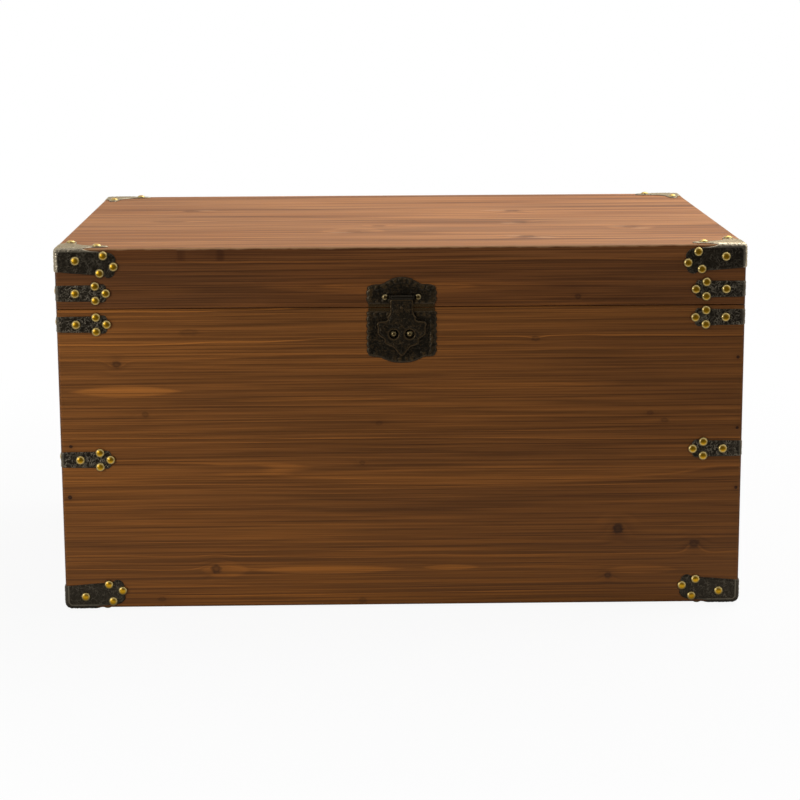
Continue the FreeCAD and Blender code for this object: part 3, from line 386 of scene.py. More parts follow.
# Eyes as place along the front and height, half length, half height, lift of the grain and paler share.
LOWER_EYES = [
    (-0.210, 0.0490, 0.032, 0.0120, 0.002, 0.40), (-0.089, 0.0486, 0.100, 0.0070, 0.002, 0.55),
    (0.057, 0.0500, 0.038, 0.0040, 0.001, 0.70), (0.100, 0.1610, 0.285, 0.0160, 0.012, 0.30),
    (-0.330, 0.1613, 0.200, 0.0090, 0.006, 0.24), (0.283, 0.0448, 0.050, 0.0070, 0.001, 0.40),
]
UPPER_KNOTS = [
    (-0.332, 0.2974, 0.0050, 0.0045, 0.003, 0.55), (-0.300, 0.2379, 0.0040, 0.0035, 0.002, 0.35),
    (-0.247, 0.3346, 0.0120, 0.0040, 0.001, 0.24), (-0.027, 0.2252, 0.0040, 0.0030, 0.001, 0.30),
    (0.308, 0.2262, 0.0050, 0.0025, 0.001, 0.40), (0.291, 0.2353, 0.0040, 0.0030, 0.001, 0.30),
    (0.156, 0.3242, 0.0050, 0.0035, 0.001, 0.35), (0.393, 0.3005, 0.0018, 0.0018, 0.000, 1.00),
    (0.394, 0.2163, 0.0018, 0.0018, 0.000, 1.00),
]
UPPER_EYES = [
    (-0.322, 0.2653, 0.072, 0.0082, 0.002, 0.60), (0.104, 0.2691, 0.135, 0.0080, 0.006, 0.30),
    (-0.119, 0.2544, 0.120, 0.0040, 0.001, 0.25),
]
FRONT_CORNERS = [("-y", "-x"), ("-y", "+x")]
FRONT_FOOT = [("-y", "-z")]
FEET = [("-x", "-z"), ("+x", "-z")]
FRONT_SEAM = [("-y", "+z")]
lower_front_pine = pine_finish("lower_front_pine", "xzy", 3.1, (0.115, -0.185), BOARD_RING,
                               "front_lower_board", FRONT_TONES, LOWER_KNOTS, LOWER_EYES,
                               FRONT_CORNERS + FRONT_FOOT)
upper_front_pine = pine_finish("upper_front_pine", "xzy", 8.4, (0.262, -0.165), BOARD_RING,
                               "front_upper_board", FRONT_TONES, UPPER_KNOTS, UPPER_EYES, FRONT_CORNERS)
planed_board("front_lower_board", "chest", lower_front_pine, FRONT_CORNERS + FRONT_FOOT, broad=FEET)
planed_board("front_upper_board", "chest", upper_front_pine, FRONT_CORNERS, eased=FRONT_SEAM)

# Back wall and ends: the same glued and stained pine boards, seen only from the sides and behind.
# The end boards stand between the front and back boards and are nailed through them.
BACK_TONES = dict(FRONT_TONES, figure=0.85)
BACK_LOWER_KNOTS = [(-0.26, 0.13, 0.006, 0.0055, 0.005, 0.7), (0.12, 0.06, 0.005, 0.0045, 0.003, 0.5)]
BACK_UPPER_KNOTS = [(0.05, 0.29, 0.006, 0.005, 0.004, 0.6), (-0.33, 0.33, 0.004, 0.0035, 0.002, 0.4)]
END_LOWER_KNOTS = [(0.10, 0.15, 0.006, 0.0055, 0.005, 0.7), (-0.15, 0.06, 0.004, 0.0035, 0.002, 0.4)]
END_UPPER_KNOTS = [(-0.12, 0.31, 0.005, 0.0045, 0.003, 0.5)]
BACK_CORNERS = [("+y", "-x"), ("+y", "+x")]
BACK_FOOT = [("+y", "-z")]
BACK_SEAM = [("+y", "+z")]
lower_back_pine = pine_finish("lower_back_pine", "xzy", 12.6, (0.10, 0.185), BOARD_RING, "back_lower_board",
                              BACK_TONES, BACK_LOWER_KNOTS, [(0.0, 0.15, 0.25, 0.02, 0.012, 0.2)],
                              BACK_CORNERS + BACK_FOOT)
upper_back_pine = pine_finish("upper_back_pine", "xzy", 16.2, (0.30, 0.165), BOARD_RING, "back_upper_board",
                              BACK_TONES, BACK_UPPER_KNOTS, [(-0.1, 0.27, 0.2, 0.012, 0.008, 0.2)],
                              BACK_CORNERS)
planed_board("back_lower_board", "chest", lower_back_pine, BACK_CORNERS + BACK_FOOT, broad=FEET)
planed_board("back_upper_board", "chest", upper_back_pine, BACK_CORNERS, eased=BACK_SEAM)
for hand, outer, seed in (("left", "-x", 21.3), ("right", "+x", 27.9)):
    depth_of_pith = 0.29 if hand == "right" else -0.29
    lower_end_pine = pine_finish(f"lower_{hand}_end_pine", "yzx", seed, (0.12, depth_of_pith), BOARD_RING,
                                 f"{hand}_end_lower_board", BACK_TONES, END_LOWER_KNOTS, [], [(outer, "-z")])
    upper_end_pine = pine_finish(f"upper_{hand}_end_pine", "yzx", seed + 2.2, (0.27, depth_of_pith),
                                 BOARD_RING, f"{hand}_end_upper_board", BACK_TONES, END_UPPER_KNOTS)
    planed_board(f"{hand}_end_lower_board", "chest", lower_end_pine, broad=[(outer, "-z")])
    planed_board(f"{hand}_end_upper_board", "chest", upper_end_pine, eased=[(outer, "+z")])

# Bottom: one thin pine panel let into the groove of the four walls and left loose there.
# It is bare wood, paler than the stained outside.
PANEL_TONES = {
    "early": as_seen(196, 160, 112), "late": as_seen(160, 116, 70), "figure": 0.7, "pale_share": 0.0,
    "cloud": as_seen(178, 138, 92), "cloud_share": 0.6, "glow": as_seen(205, 170, 122),
    "knot": as_seen(92, 58, 34), "rub": as_seen(200, 170, 124), "rub_and_sheen_share": 0.2,
    "streaks": (4.0, 120.0, 120.0), "streak_share": 0.5, "rough": (0.6, 0.74), "wax": 0.15,
}
PANEL_RING = 7.2 * MM
panel_pine = pine_finish("panel_pine", "xyz", 33.7, (0.05, -0.12), PANEL_RING, "bottom_panel", PANEL_TONES,
                         [(-0.18, 0.10, 0.008, 0.007, 0.010, 0.7), (0.22, -0.09, 0.006, 0.006, 0.008, 0.6)])
planed_board("bottom_panel", "chest", panel_pine)

# Lid frame: four narrow boards nailed round like the walls, front and back lapping the ends.
# The front one is what shows below the lid's top board, with a long tongue of grain behind the latch.
LID_TONES = dict(FRONT_TONES, pale_share=0.5, light_drift=(-0.35, 0.40, 0.94, 0.93), early=as_seen(122, 72, 28),
                 late=as_seen(82, 46, 16), cloud=as_seen(98, 60, 28), glow=as_seen(156, 94, 36))
LID_KNOTS = [(0.205, 0.3734, 0.0040, 0.0030, 0.001, 0.50)]
LID_EYES = [(0.005, 0.3861, 0.185, 0.0095, 0.009, 0.25), (-0.300, 0.3832, 0.080, 0.0080, 0.004, 0.12)]
lid_front_pine = pine_finish("lid_front_pine", "xzy", 41.5, (0.384, -0.200), BOARD_RING, "lid_front_board",
                             LID_TONES, LID_KNOTS, LID_EYES, FRONT_CORNERS)
lid_back_pine = pine_finish("lid_back_pine", "xzy", 44.8, (0.36, 0.200), BOARD_RING, "lid_back_board",
                            LID_TONES, [(-0.15, 0.40, 0.004, 0.0035, 0.002, 0.5)], [], BACK_CORNERS)
planed_board("lid_front_board", "lid", lid_front_pine, FRONT_CORNERS, eased=[("-y", "-z")])
planed_board("lid_back_board", "lid", lid_back_pine, BACK_CORNERS, eased=[("+y", "-z")])
for hand, outer, seed in (("left", "-x", 48.2), ("right", "+x", 52.6)):
    depth_of_pith = 0.31 if hand == "right" else -0.31
    lid_end_pine = pine_finish(f"lid_{hand}_end_pine", "yzx", seed, (0.37, depth_of_pith), BOARD_RING,
                               f"lid_{hand}_end", LID_TONES)
    planed_board(f"lid_{hand}_end", "lid", lid_end_pine, eased=[(outer, "-z")])

# Lid top: two wide pine boards glued edge to edge and nailed down on the frame, their free edges eased.
# The same stain, but paler and pinker, partly from hands and partly as painted sheen; its pale free edges
# are also a painted highlight.
TOP_TONES = {
    "early": as_seen(192, 133, 85), "late": as_seen(126, 80, 46), "figure": 0.85, "pale_share": 0.0,
    "cloud": as_seen(158, 100, 56), "cloud_share": 0.6, "glow": as_seen(222, 176, 134),
    "knot": as_seen(92, 52, 26), "rub": as_seen(214, 164, 118), "rub_and_sheen_share": 0.6,
    # The side tone is painted shade on the upright faces of the edges; the top is painted darker to the left.
    "side": (0.38, 0.32, 0.225, 1.0), "light_drift": (-0.36, 0.05, 0.91, 1.0),
    "streaks": (2.4, 42.0, 42.0), "streak_share": 0.8, "rough": (0.62, 0.76), "wax": 0.12,
}
TOP_FRONT_KNOTS = [
    (-0.055, -0.137, 0.010, 0.010, 0.012, 0.40), (-0.024, -0.081, 0.009, 0.007, 0.010, 0.45),
    (0.154, -0.053, 0.009, 0.009, 0.010, 0.40), (0.152, -0.195, 0.010, 0.009, 0.012, 0.45),
    (0.286, -0.106, 0.009, 0.009, 0.010, 0.40), (-0.289, -0.020, 0.022, 0.012, 0.006, 0.30),
    (-0.209, -0.283, 0.006, 0.003, 0.0, 0.5), (-0.254, -0.283, 0.005, 0.003, 0.0, 0.4),
]
TOP_BACK_KNOTS = [(0.153, 0.078, 0.010, 0.010, 0.012, 0.5), (-0.269, 0.096, 0.012, 0.010, 0.010, 0.5)]
TOP_FRONT_EYES = [
    (-0.070, -0.146, 0.020, 0.0040, 0.0, 0.45), (0.142, -0.060, 0.017, 0.0045, 0.0, 0.50),
    (0.170, -0.208, 0.024, 0.0045, 0.0, 0.55), (0.138, -0.191, 0.015, 0.0040, 0.0, 0.50),
    (0.274, -0.100, 0.019, 0.0040, 0.0, 0.45), (0.298, -0.122, 0.016, 0.0050, 0.0, 0.50),
]
TOP_BACK_EYES = [(0.132, 0.086, 0.024, 0.0050, 0.0, 0.5), (-0.252, 0.104, 0.020, 0.0045, 0.0, 0.4)]
TOP_FRONT_EDGES = [("-y", "+z"), ("-x", "+z"), ("+x", "+z")]
TOP_BACK_EDGES = [("+y", "+z"), ("-x", "+z"), ("+x", "+z")]
TOP_RING = 8.5 * MM
top_front_pine = pine_finish("top_front_pine", "xyz", 57.3, (-0.12, 0.24), TOP_RING, "lid_top_front_board",
                             TOP_TONES, TOP_FRONT_KNOTS, TOP_FRONT_EYES, TOP_FRONT_EDGES)
top_back_pine = pine_finish("top_back_pine", "xyz", 63.1, (0.15, 0.25), TOP_RING, "lid_top_back_board",
                            TOP_TONES, TOP_BACK_KNOTS, TOP_BACK_EYES, TOP_BACK_EDGES)
planed_board("lid_top_front_board", "lid", top_front_pine, FRONT_CORNERS, TOP_FRONT_EDGES, [("+y", "+z")])
planed_board("lid_top_back_board", "lid", top_back_pine, BACK_CORNERS, TOP_BACK_EDGES, [("-y", "+z")])

# Corner caps of the lid and the feet: sheet iron pressed with a low scroll pattern, cut to three leaves with
# lobed ends, bent over the corner and blacked. Each leaf lies flat on the wood and is tacked down.
SHEET = 1.2 * MM
CORNER_ROUND = 5.0 * MM
NET_PITCH = 0.95 * MM
SCROLL_HEIGHT = 0.42 * MM
SCROLL_SEED = 7
BEAD_HEIGHT = 0.28 * MM
BEAD_INSET = 2.3 * MM
BEAD_WIDTH = 0.8 * MM
CORNER_SWEEP = 9.0 * MM
SHEEN_REACH = 5.4 * MM
SHEEN_FADE = 1.6 * MM
CROWN_SHEEN = 0.75
FOOT_BEND_SHEEN = 0.06
FOOT_LINE = 5.0 * MM
FOOT_LINE_WIDTH = 0.6 * MM
FOOT_LINE_PALE = 0.5
FOOT_ROUND = 8.5 * MM
CAP_PRESSED = 0.38
EDGE_ROLL = 0.9 * MM
EDGE_DROP = 0.45 * MM
# Free edge of an upright leaf, as distances along the wood's edge and away from it.
CAP_LEAF_EDGE = [
    (33.6, -1.2), (37.1, 1.1), (42.6, 2.7), (49.6, 3.2), (53.6, 4.2), (57.1, 5.4), (61.1, 4.8), (65.6, 6.0),
    (69.6, 9.8), (70.6, 13.6), (69.6, 16.8), (68.0, 18.8), (67.8, 21.0), (68.4, 23.2), (69.4, 25.8),
    (68.6, 29.8), (65.8, 33.0), (61.4, 34.2), (57.8, 32.8), (55.2, 30.6), (51.8, 30.0), (47.6, 30.4),
    (41.6, 30.3), (33.6, 29.8), (20.4, 28.7), (8.1, 27.6), (-1.2, 27.0),
]
CROWN_EDGE = [
    (33.0, -1.2), (36.5, 0.8), (41.0, 5.0), (45.0, 7.0), (50.0, 7.2), (56.0, 8.0), (60.4, 10.8),
    (61.0, 14.6), (58.0, 18.2), (52.0, 20.2), (46.0, 20.4), (39.0, 21.2), (32.0, 24.6), (28.4, 28.4),
]


def smooth_line(corners, step):
    """A flowing line through corner points, with points every step or so."""
    knots = [Vector(corner) for corner in corners]
    line = []
    for number in range(len(knots) - 1):
        before = knots[max(number - 1, 0)]
        start, end = knots[number], knots[number + 1]
        after = knots[min(number + 2, len(knots) - 1)]
        pieces = max(1, round((end - start).length / step))
        for piece in range(pieces):
            t = piece / pieces
            bend = 2 * before - 5 * start + 4 * end - after
            twist = 3 * start - before - 3 * end + after
            line.append(0.5 * (2 * start + (end - before) * t + bend * t * t + twist * t ** 3))
    return line + [knots[-1]]


def straight_line(start, end, step):
    """Even points from one place up to, but without, another."""
    start, end = Vector(start), Vector(end)
    pieces = max(1, round((end - start).length / step))
    return [start.lerp(end, piece / pieces) for piece in range(pieces)]


def side_gaps(points, starts, ends):
    """How far each point is from each straight side, and the share of that side at its nearest place."""
    run = ends - starts
    gap = points[:, None, :] - starts[None]
    share = np.clip((gap * run).sum(2) / np.maximum((run * run).sum(1), 1e-18), 0, 1)
    return np.linalg.norm(gap - share[..., None] * run, axis=2), share


def reach_to(points, loop):
    """How far each point is from the nearest side of a closed loop."""
    return side_gaps(points, loop, np.roll(loop, -1, axis=0))[0].min(1)


def inside(points, loop):
    """Which points lie within a closed loop."""
    ends = np.roll(loop, -1, axis=0)
    x, y = points[:, None, 0], points[:, None, 1]
    spans = (loop[:, 1] > y) != (ends[:, 1] > y)
    rise = np.where(ends[:, 1] == loop[:, 1], 1e-18, ends[:, 1] - loop[:, 1])
    crossing = (ends[:, 0] - loop[:, 0]) * (y - loop[:, 1]) / rise + loop[:, 0]
    return (spans & (x < crossing)).sum(1) % 2 == 1


def clockwise(points, faces):
    """Faces turned so that all go the same way round."""
    turned = []
    for face in faces:
        one, two, three = (points[corner] for corner in face)
        area = (two[0] - one[0]) * (three[1] - one[1]) - (two[1] - one[1]) * (three[0] - one[0])
        turned.append(face if area > 0 else face[::-1])
    return turned


def flat_net(outline, pitch, holes=()):
    """An even net inside an outline: its points, its triangles and each point's reach to an edge."""
    loops = [np.array([tuple(point) for point in loop]) for loop in (outline, *holes)]
    low, high = loops[0].min(0), loops[0].max(0)
    row_step = pitch * math.sqrt(3) / 2
    seeds = []
    for row in range(int((high[1] - low[1]) / row_step) + 1):
        shift = pitch / 2 if row % 2 else 0.0
        for column in range(int((high[0] - low[0]) / pitch) + 1):
            seeds.append((low[0] + shift + column * pitch, low[1] + row * row_step))
    seeds = np.array(seeds)
    keep = inside(seeds, loops[0])
    for loop in loops:
        keep &= reach_to(seeds, loop) > 0.6 * pitch
    for hole in loops[1:]:
        keep &= ~inside(seeds, hole)
    sides, start = [], 0
    for loop in loops:
        count = len(loop)
        sides += [(start + number, start + (number + 1) % count) for number in range(count)]
        start += count
    spots = np.concatenate([*loops, seeds[keep]])
    net = delaunay_2d_cdt([Vector(spot) for spot in spots], sides, [], 0, MM * 1e-4)
    points = np.array([tuple(point) for point in net[0]])
    triangles = [list(face) for face in net[2]]
    middles = np.array([points[face].mean(0) for face in triangles])
    wanted = inside(middles, loops[0])
    for hole in loops[1:]:
        wanted &= ~inside(middles, hole)
    reach = np.min([reach_to(points, loop) for loop in loops], axis=0)
    return points, clockwise(points, [face for face, good in zip(triangles, wanted) if good]), reach


# Without a seed of its own the noise starts from the clock, and the stems would curl anew at every run.
noise.seed_set(SCROLL_SEED)


def scroll(along, away):
    """Low scrolling relief, 0 to 1, like curling stems pressed into sheet."""
    spot = Vector((along, away, 0.0)) / MM
    bend = noise.noise_vector(spot * 0.11)
    curl = noise.noise(spot * 0.23 + bend * 1.6)
    return max(0.0, 1.0 - abs(curl) * 5.5)


def pressed_height(points, free_reach):
    """Height of the pressed sheet over its flat face: scrolls, a bead along the cut edge, the rolled edge."""
    heights = np.array([scroll(*point) for point in points]) * SCROLL_HEIGHT
    field = np.clip((free_reach - BEAD_INSET) / BEAD_INSET, 0, 1)
    bead = BEAD_HEIGHT * np.exp(-((free_reach - BEAD_INSET) / BEAD_WIDTH) ** 2)
    roll = EDGE_DROP * np.clip(1 - free_reach / EDGE_ROLL, 0, 1) ** 2
    return heights * field + bead - roll


def fold(points, round_axes, radius, depth):
    """Points on the sharp outer faces of a corner, bent to a radius, and again at a depth below them."""
    limit = np.full(3, -1e9)
    limit[list(round_axes)] = radius - SHEET
    middle = np.maximum(points, limit)
    out = points - middle
    flat = np.linalg.norm(out, axis=1, keepdims=True)
    out = out / np.maximum(flat, 1e-12)
    return middle + out * radius, middle + out * (radius - depth), out


def shell(name, outer, inner, faces, marks):
    """A closed sheet from its outer and inner points, with named marks kept on the outer points."""
    count = len(outer)
    seen = dict.fromkeys(side for face in faces for side in zip(face, face[1:] + face[:1]))
    rim = [side for side in seen if (side[1], side[0]) not in seen]
    polygons = [list(face) for face in faces]
    polygons += [[count + corner for corner in reversed(face)] for face in faces]
    polygons += [[two, one, count + one, count + two] for one, two in rim]
    mesh = bpy.data.meshes.new(name)
    mesh.from_pydata(np.concatenate([outer, inner]).tolist(), [], polygons)
    for label, values in marks.items():
        layer = mesh.attributes.new(label, "FLOAT", "POINT")
        layer.data.foreach_set("value", np.concatenate([values, np.zeros(count)]).astype(np.float32))
    mesh.polygons.foreach_set("use_smooth", [True] * len(polygons))
    mesh.update()
    return mesh


def weld(leaves):
    """Join leaves that share edge points; each leaf is points, triangles and heights."""
    index, points, heights, faces = {}, [], [], []
    for leaf_points, leaf_faces, leaf_heights in leaves:
        numbers = []
        for point, height in zip(leaf_points, leaf_heights):
            key = tuple(round(float(part) / MM, 3) for part in point)
            if key not in index:
                index[key] = len(points)
                points.append(point)
                heights.append(height)
            numbers.append(index[key])
        faces += [[numbers[corner] for corner in face] for face in leaf_faces]
    return np.array(points), faces, np.array(heights)


def free_side(points, outline, keep):
    """Reach of each point to the sides of an outline whose ends both pass a test."""
    loop = np.array([tuple(point) for point in outline])
    ends = np.roll(loop, -1, axis=0)
    chosen = keep(loop) & keep(ends)
    return side_gaps(points, loop[chosen], ends[chosen])[0].min(1)


def leaf_net(outline, bent):
    """Net of one leaf and its pressed heights; bent tells which points lie on a bend line."""
    points, faces, _ = flat_net(outline, NET_PITCH)
    reach = free_side(points, outline, lambda spots: ~bent(spots))
    return points, faces, pressed_height(points, reach)


scaled = [Vector(corner) * MM for corner in CAP_LEAF_EDGE]
corner_point = Vector((-SHEET, -SHEET))
leaf_outline = (straight_line(corner_point, scaled[0], NET_PITCH)
                + smooth_line(scaled, NET_PITCH)[:-1]
                + straight_line(scaled[-1], corner_point, NET_PITCH))
half_crown = smooth_line([Vector(corner) * MM for corner in CROWN_EDGE], NET_PITCH)
crown_line = half_crown + [point.yx for point in reversed(half_crown[:-1])]
crown_outline = (straight_line(corner_point, half_crown[0], NET_PITCH)
                 + crown_line[:-1]
                 + straight_line(crown_line[-1], corner_point, NET_PITCH))


def on_bend(spots):
    """Points on one of the two bend lines of a leaf."""
    return (np.abs(spots + SHEET) < MM / 1000).any(1)


def upright_leaves(points, faces, heights):
    """One flat leaf stood up on both sides of an upright edge: wood towards +X and +Y."""
    level = np.full(len(points), -SHEET)
    front = np.stack([points[:, 0], level, points[:, 1]], axis=1)
    end = np.stack([level, points[:, 0], points[:, 1]], axis=1)
    return [(front, [face[::-1] for face in faces], heights), (end, faces, heights)]


def cap_leaves():
    """The three leaves of a cap on sharp faces: wood towards +X, +Y and -Z from the corner."""
    crown, crown_faces, crown_heights = leaf_net(crown_outline, on_bend)
    top = np.stack([crown[:, 0], crown[:, 1], np.full(len(crown), -SHEET)], axis=1)
    return upright_leaves(*leaf_net(leaf_outline, on_bend)) + [(top, crown_faces, crown_heights)]


cap_points, cap_faces, cap_heights = weld(cap_leaves())
cap_outer, cap_inner, cap_out = fold(cap_points, (0, 1, 2), CORNER_ROUND, SHEET)
cap_outer = cap_outer + cap_out * cap_heights[:, None]


def from_bend(points):
    """How far points lie from the nearest bend, as a line that sweeps round the corner of the leaf."""
    near, far = (np.sort(points, axis=1)[:, 1:] + SHEET).T
    swept = CORNER_SWEEP - np.hypot(np.maximum(CORNER_SWEEP - near, 0), np.maximum(CORNER_SWEEP - far, 0))
    return np.where(far < CORNER_SWEEP, swept, near)


def bend_sheen(points):
    """Painted reflection on a bend: full at the corner's edge, fading to nothing a little way along the leaf.
    """
    return np.clip((SHEEN_REACH - from_bend(points)) / SHEEN_FADE, 0, 1)


def broad_corner(points, radius):
    """Points of a bent cap drawn in so that its corner, seen from the front, is a broad quarter circle."""
    centre = radius - SHEET
    inset = radius - CORNER_ROUND
    out = points[:, [0, 2]] - centre
    size = np.maximum(np.linalg.norm(out, axis=1), 1e-12)
    lean = np.abs(out) / size[:, None]
    spread = lean.sum(1)
    arc = inset * spread + np.sqrt(np.maximum((inset * spread) ** 2 + CORNER_ROUND ** 2 - 2 * inset ** 2, 0))
    straight = radius * lean.min(1) < inset * lean.max(1)
    outline = np.where(straight, radius / np.maximum(lean.max(1), 1e-12), np.maximum(arc, 1e-12))
    share = np.where((out < 0).all(1), radius / outline, 1.0)
    drawn = points.copy()
    drawn[:, [0, 2]] = centre + out * share[:, None]
    return drawn


# Painted reflection: the lid caps are pale along their bends and over the whole top leaf, standing for the
# white room they reflect. The foot caps get a faint share of it on the bends, and a thin pale line along
# them.
cap_crown = np.clip((-cap_out[:, 2] - 0.9) / 0.1, 0, 1)
lid_cap_sheen = np.maximum(bend_sheen(cap_points), cap_crown * CROWN_SHEEN)
foot_line = np.exp(-((from_bend(cap_points) - FOOT_LINE) / FOOT_LINE_WIDTH) ** 2)
foot_cap_pale = np.maximum(FOOT_BEND_SHEEN * bend_sheen(cap_points), FOOT_LINE_PALE * foot_line)
foot_outer, foot_inner = broad_corner(cap_outer, FOOT_ROUND), broad_corner(cap_inner, FOOT_ROUND)

# Marks shared by all the metal: a pale mask, partly real and partly painted light. On the bends and the lid
# caps' top leaves it is a painted reflection; on rims and edges it is rubbing; on the raised relief and the
# tops of the fine stems of a pressed pattern it is rubbing and a painted highlight. Then a slow mottle and
# fine specks.
metal_wear, given, result = new_effect("metal_wear", ("Place",), ("Rub", "Relief", "Pressed"),
                                       ("Worn", "Stems", "Mottle", "Speck"))
place = given["Place"]
patchy = cloudy(place, (140.0, 140.0, 140.0), (4.0, 9.0, 2.0), 3.0)
raised = reckon("MULTIPLY", between(given["Relief"], 0.5, 1.0, 0.0, 0.6), between(patchy, 0.36, 0.62))
rubbed_and_sheen = reckon("MULTIPLY", given["Rub"], between(patchy, 0.1, 0.5, 0.7, 1.0))
warp = fit(metal_wear, "ShaderNodeTexNoise", {"Vector": place, "Scale": 170.0, "Detail": 1.0})
curled = steer("MULTIPLY_ADD", warp.outputs["Color"], (7.0 * MM, 7.0 * MM, 7.0 * MM), place)
curl = reckon("SUBTRACT", cloudy(curled, (310.0, 310.0, 310.0), (2.0, 7.0, 5.0), 0.0), 0.5)
stems = between(reckon("ABSOLUTE", curl), 0.0, 0.13, 1.0, 0.0)
stems = reckon("MULTIPLY", stems, reckon("SUBTRACT", given["Pressed"], given["Rub"]))
stems = reckon("MAXIMUM", stems, 0.0)
tops = reckon("MULTIPLY", stems, between(patchy, 0.38, 0.66, 0.1, 0.6))
put_out(result, {"Worn": reckon("MAXIMUM", reckon("MAXIMUM", rubbed_and_sheen, raised), tops), "Stems": stems,
                 "Mottle": cloudy(place, (38.0, 38.0, 38.0), (1.0, 5.0, 7.0)),
                 "Speck": cloudy(place, (720.0, 720.0, 720.0), (6.0, 3.0, 8.0))})
SKIN_DEPTH = 0.2 * MM
WARM_GLEAM = as_seen(255, 238, 208)


def metal_finish(name, ground, worn_and_sheen, mottle, metallic, rough, hammered):
    """A metal: a ground colour, a paler one for rubbing and painted light, a mottled third, a hammered or
    smooth skin.
    """
    finish, tree = new_finish(name)
    ground, worn_and_sheen, mottle = as_seen(*ground), as_seen(*worn_and_sheen), as_seen(*mottle)
    marks = {mark: fit(tree, "ShaderNodeAttribute", attribute_name=mark.lower()).outputs["Fac"]
             for mark in ("Rub", "Relief", "Pressed")}
    place = fit(tree, "ShaderNodeTexCoord").outputs["Object"]
    wear_and_sheen = place_effect(tree, metal_wear, {"Place": place, **marks})
    colour = mingle(between(wear_and_sheen["Mottle"], 0.35, 0.7, 0.0, 0.8), ground, mottle)
    colour = mingle(between(wear_and_sheen["Speck"], 0.55, 0.8, 0.0, 0.35), colour, mottle)
    colour = mingle(wear_and_sheen["Worn"], colour, worn_and_sheen)
    bare = between(wear_and_sheen["Worn"], 0.0, 1.0, metallic, 1.0)
    gloss = reckon("ADD", between(wear_and_sheen["Speck"], 0.3, 0.7, rough - 0.05, rough + 0.07),
                   reckon("MULTIPLY", wear_and_sheen["Worn"], -0.08))
    height = reckon("ADD", wear_and_sheen["Speck"], reckon("MULTIPLY_ADD", wear_and_sheen["Stems"], 3.0, wear_and_sheen["Mottle"]))
    skin = fit(tree, "ShaderNodeBump", {"Height": height, "Strength": hammered, "Distance": SKIN_DEPTH})
    end_finish(tree, {"Base Color": colour, "Metallic": bare, "Roughness": gloss, "Specular Tint": WARM_GLEAM,
                      "Normal": skin.outputs[0]})
    return finish


black_iron = metal_finish("black_iron", (21, 16, 10), (164, 153, 132), (33, 27, 19), 0.35, 0.38, 0.5)


def cap_at(name, body, corner, signs, outer, inner, rub):
    """One cap at a corner of the wood; signs turn it so that its wood side faces into the chest."""
    turn = np.array(signs, float)
    faces = cap_faces if turn.prod() < 0 else [face[::-1] for face in cap_faces]
    place = np.array(corner)
    marks = {"rub": rub, "relief": cap_heights / (SCROLL_HEIGHT + BEAD_HEIGHT),
             "pressed": np.full(len(cap_points), CAP_PRESSED)}
    mesh = shell(f"{name}_pressed", outer * turn + place, inner * turn + place, faces, marks)
    new_piece(mesh, body, name, black_iron)


lid_front_low, lid_front_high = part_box("lid_top_front_board")
lid_back_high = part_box("lid_top_back_board")[1]
foot_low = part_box("front_lower_board")[0]
CORNER_SIGNS = {"front_left": (1, 1), "front_right": (-1, 1), "back_right": (-1, -1), "back_left": (1, -1)}
corner_at = {}
for corner_name, (towards_x, towards_y) in CORNER_SIGNS.items():
    corner_at[corner_name] = (lid_front_low.x if towards_x > 0 else lid_front_high.x,
                              lid_front_low.y if towards_y > 0 else lid_back_high.y)
    cap_at(f"{corner_name}_lid_cap", "lid", (*corner_at[corner_name], lid_front_high.z),
           (towards_x, towards_y, -1), cap_outer, cap_inner, lid_cap_sheen)
    cap_at(f"{corner_name}_foot_cap", "chest", (*corner_at[corner_name], foot_low.z),
           (towards_x, towards_y, 1), foot_outer, foot_inner, foot_cap_pale)

# Edge straps: bands of the same pressed iron bent round the upright edges, each end cut to two lobes.
# One on the lid and two on the chest at every corner.
HAMMERED_END = 15.0 * MM
HAMMERED_DEPTH = 0.75 * MM
STRAP_BEND_SHEEN = 0.25
STRAP_PRESSED = 1.0
STRAP_HALF = 9.3
STRAP_EDGE = [
    (-1.2, STRAP_HALF), (14.0, 9.4), (30.0, 9.5), (39.0, 9.6), (43.0, 9.0), (46.0, 8.2), (49.0, 9.2),
    (52.0, 10.6), (55.6, 10.4), (58.2, 8.0), (58.6, 5.0), (57.4, 2.4), (57.0, 0.0),
]


def strap_net():
    """The two leaves of a strap on sharp faces, the upright edge at the origin."""
    half = smooth_line([Vector(corner) * MM for corner in STRAP_EDGE], NET_PITCH)
    line = half + [Vector((point.x, -point.y)) for point in reversed(half[:-1])]
    outline = line[:-1] + straight_line(line[-1], line[0], NET_PITCH)
    return weld(upright_leaves(*leaf_net(outline, lambda spots: np.abs(spots[:, 0] + SHEET) < MM / 1000)))


strap_points, strap_faces, strap_heights = strap_net()
strap_outer, strap_inner, strap_out = fold(strap_points, (0, 1), CORNER_ROUND, SHEET)
strap_along = strap_points[:, :2].max(1) + SHEET
hammered = np.clip((HAMMERED_END - strap_along) / (HAMMERED_END - CORNER_ROUND), 0, 1)
strap_lift = strap_heights - HAMMERED_DEPTH * hammered
strap_outer = strap_outer + strap_out * strap_lift[:, None]
# A faint painted reflection along each strap's bend, as on the caps.
strap_marks = {"rub": np.clip((SHEEN_REACH - strap_along) / SHEEN_FADE, 0, 1) * STRAP_BEND_SHEEN,
               "relief": strap_heights / (SCROLL_HEIGHT + BEAD_HEIGHT),
               "pressed": np.full(len(strap_points), STRAP_PRESSED)}


def middle_height(node, towards_x, towards_y):
    """Height of the middle of a node's solid at one corner of the chest."""
    heights = [spot.co.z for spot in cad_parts[node].data.vertices
               if spot.co.x * towards_x < 0 and spot.co.y * towards_y < 0]
    return (min(heights) + max(heights)) / 2


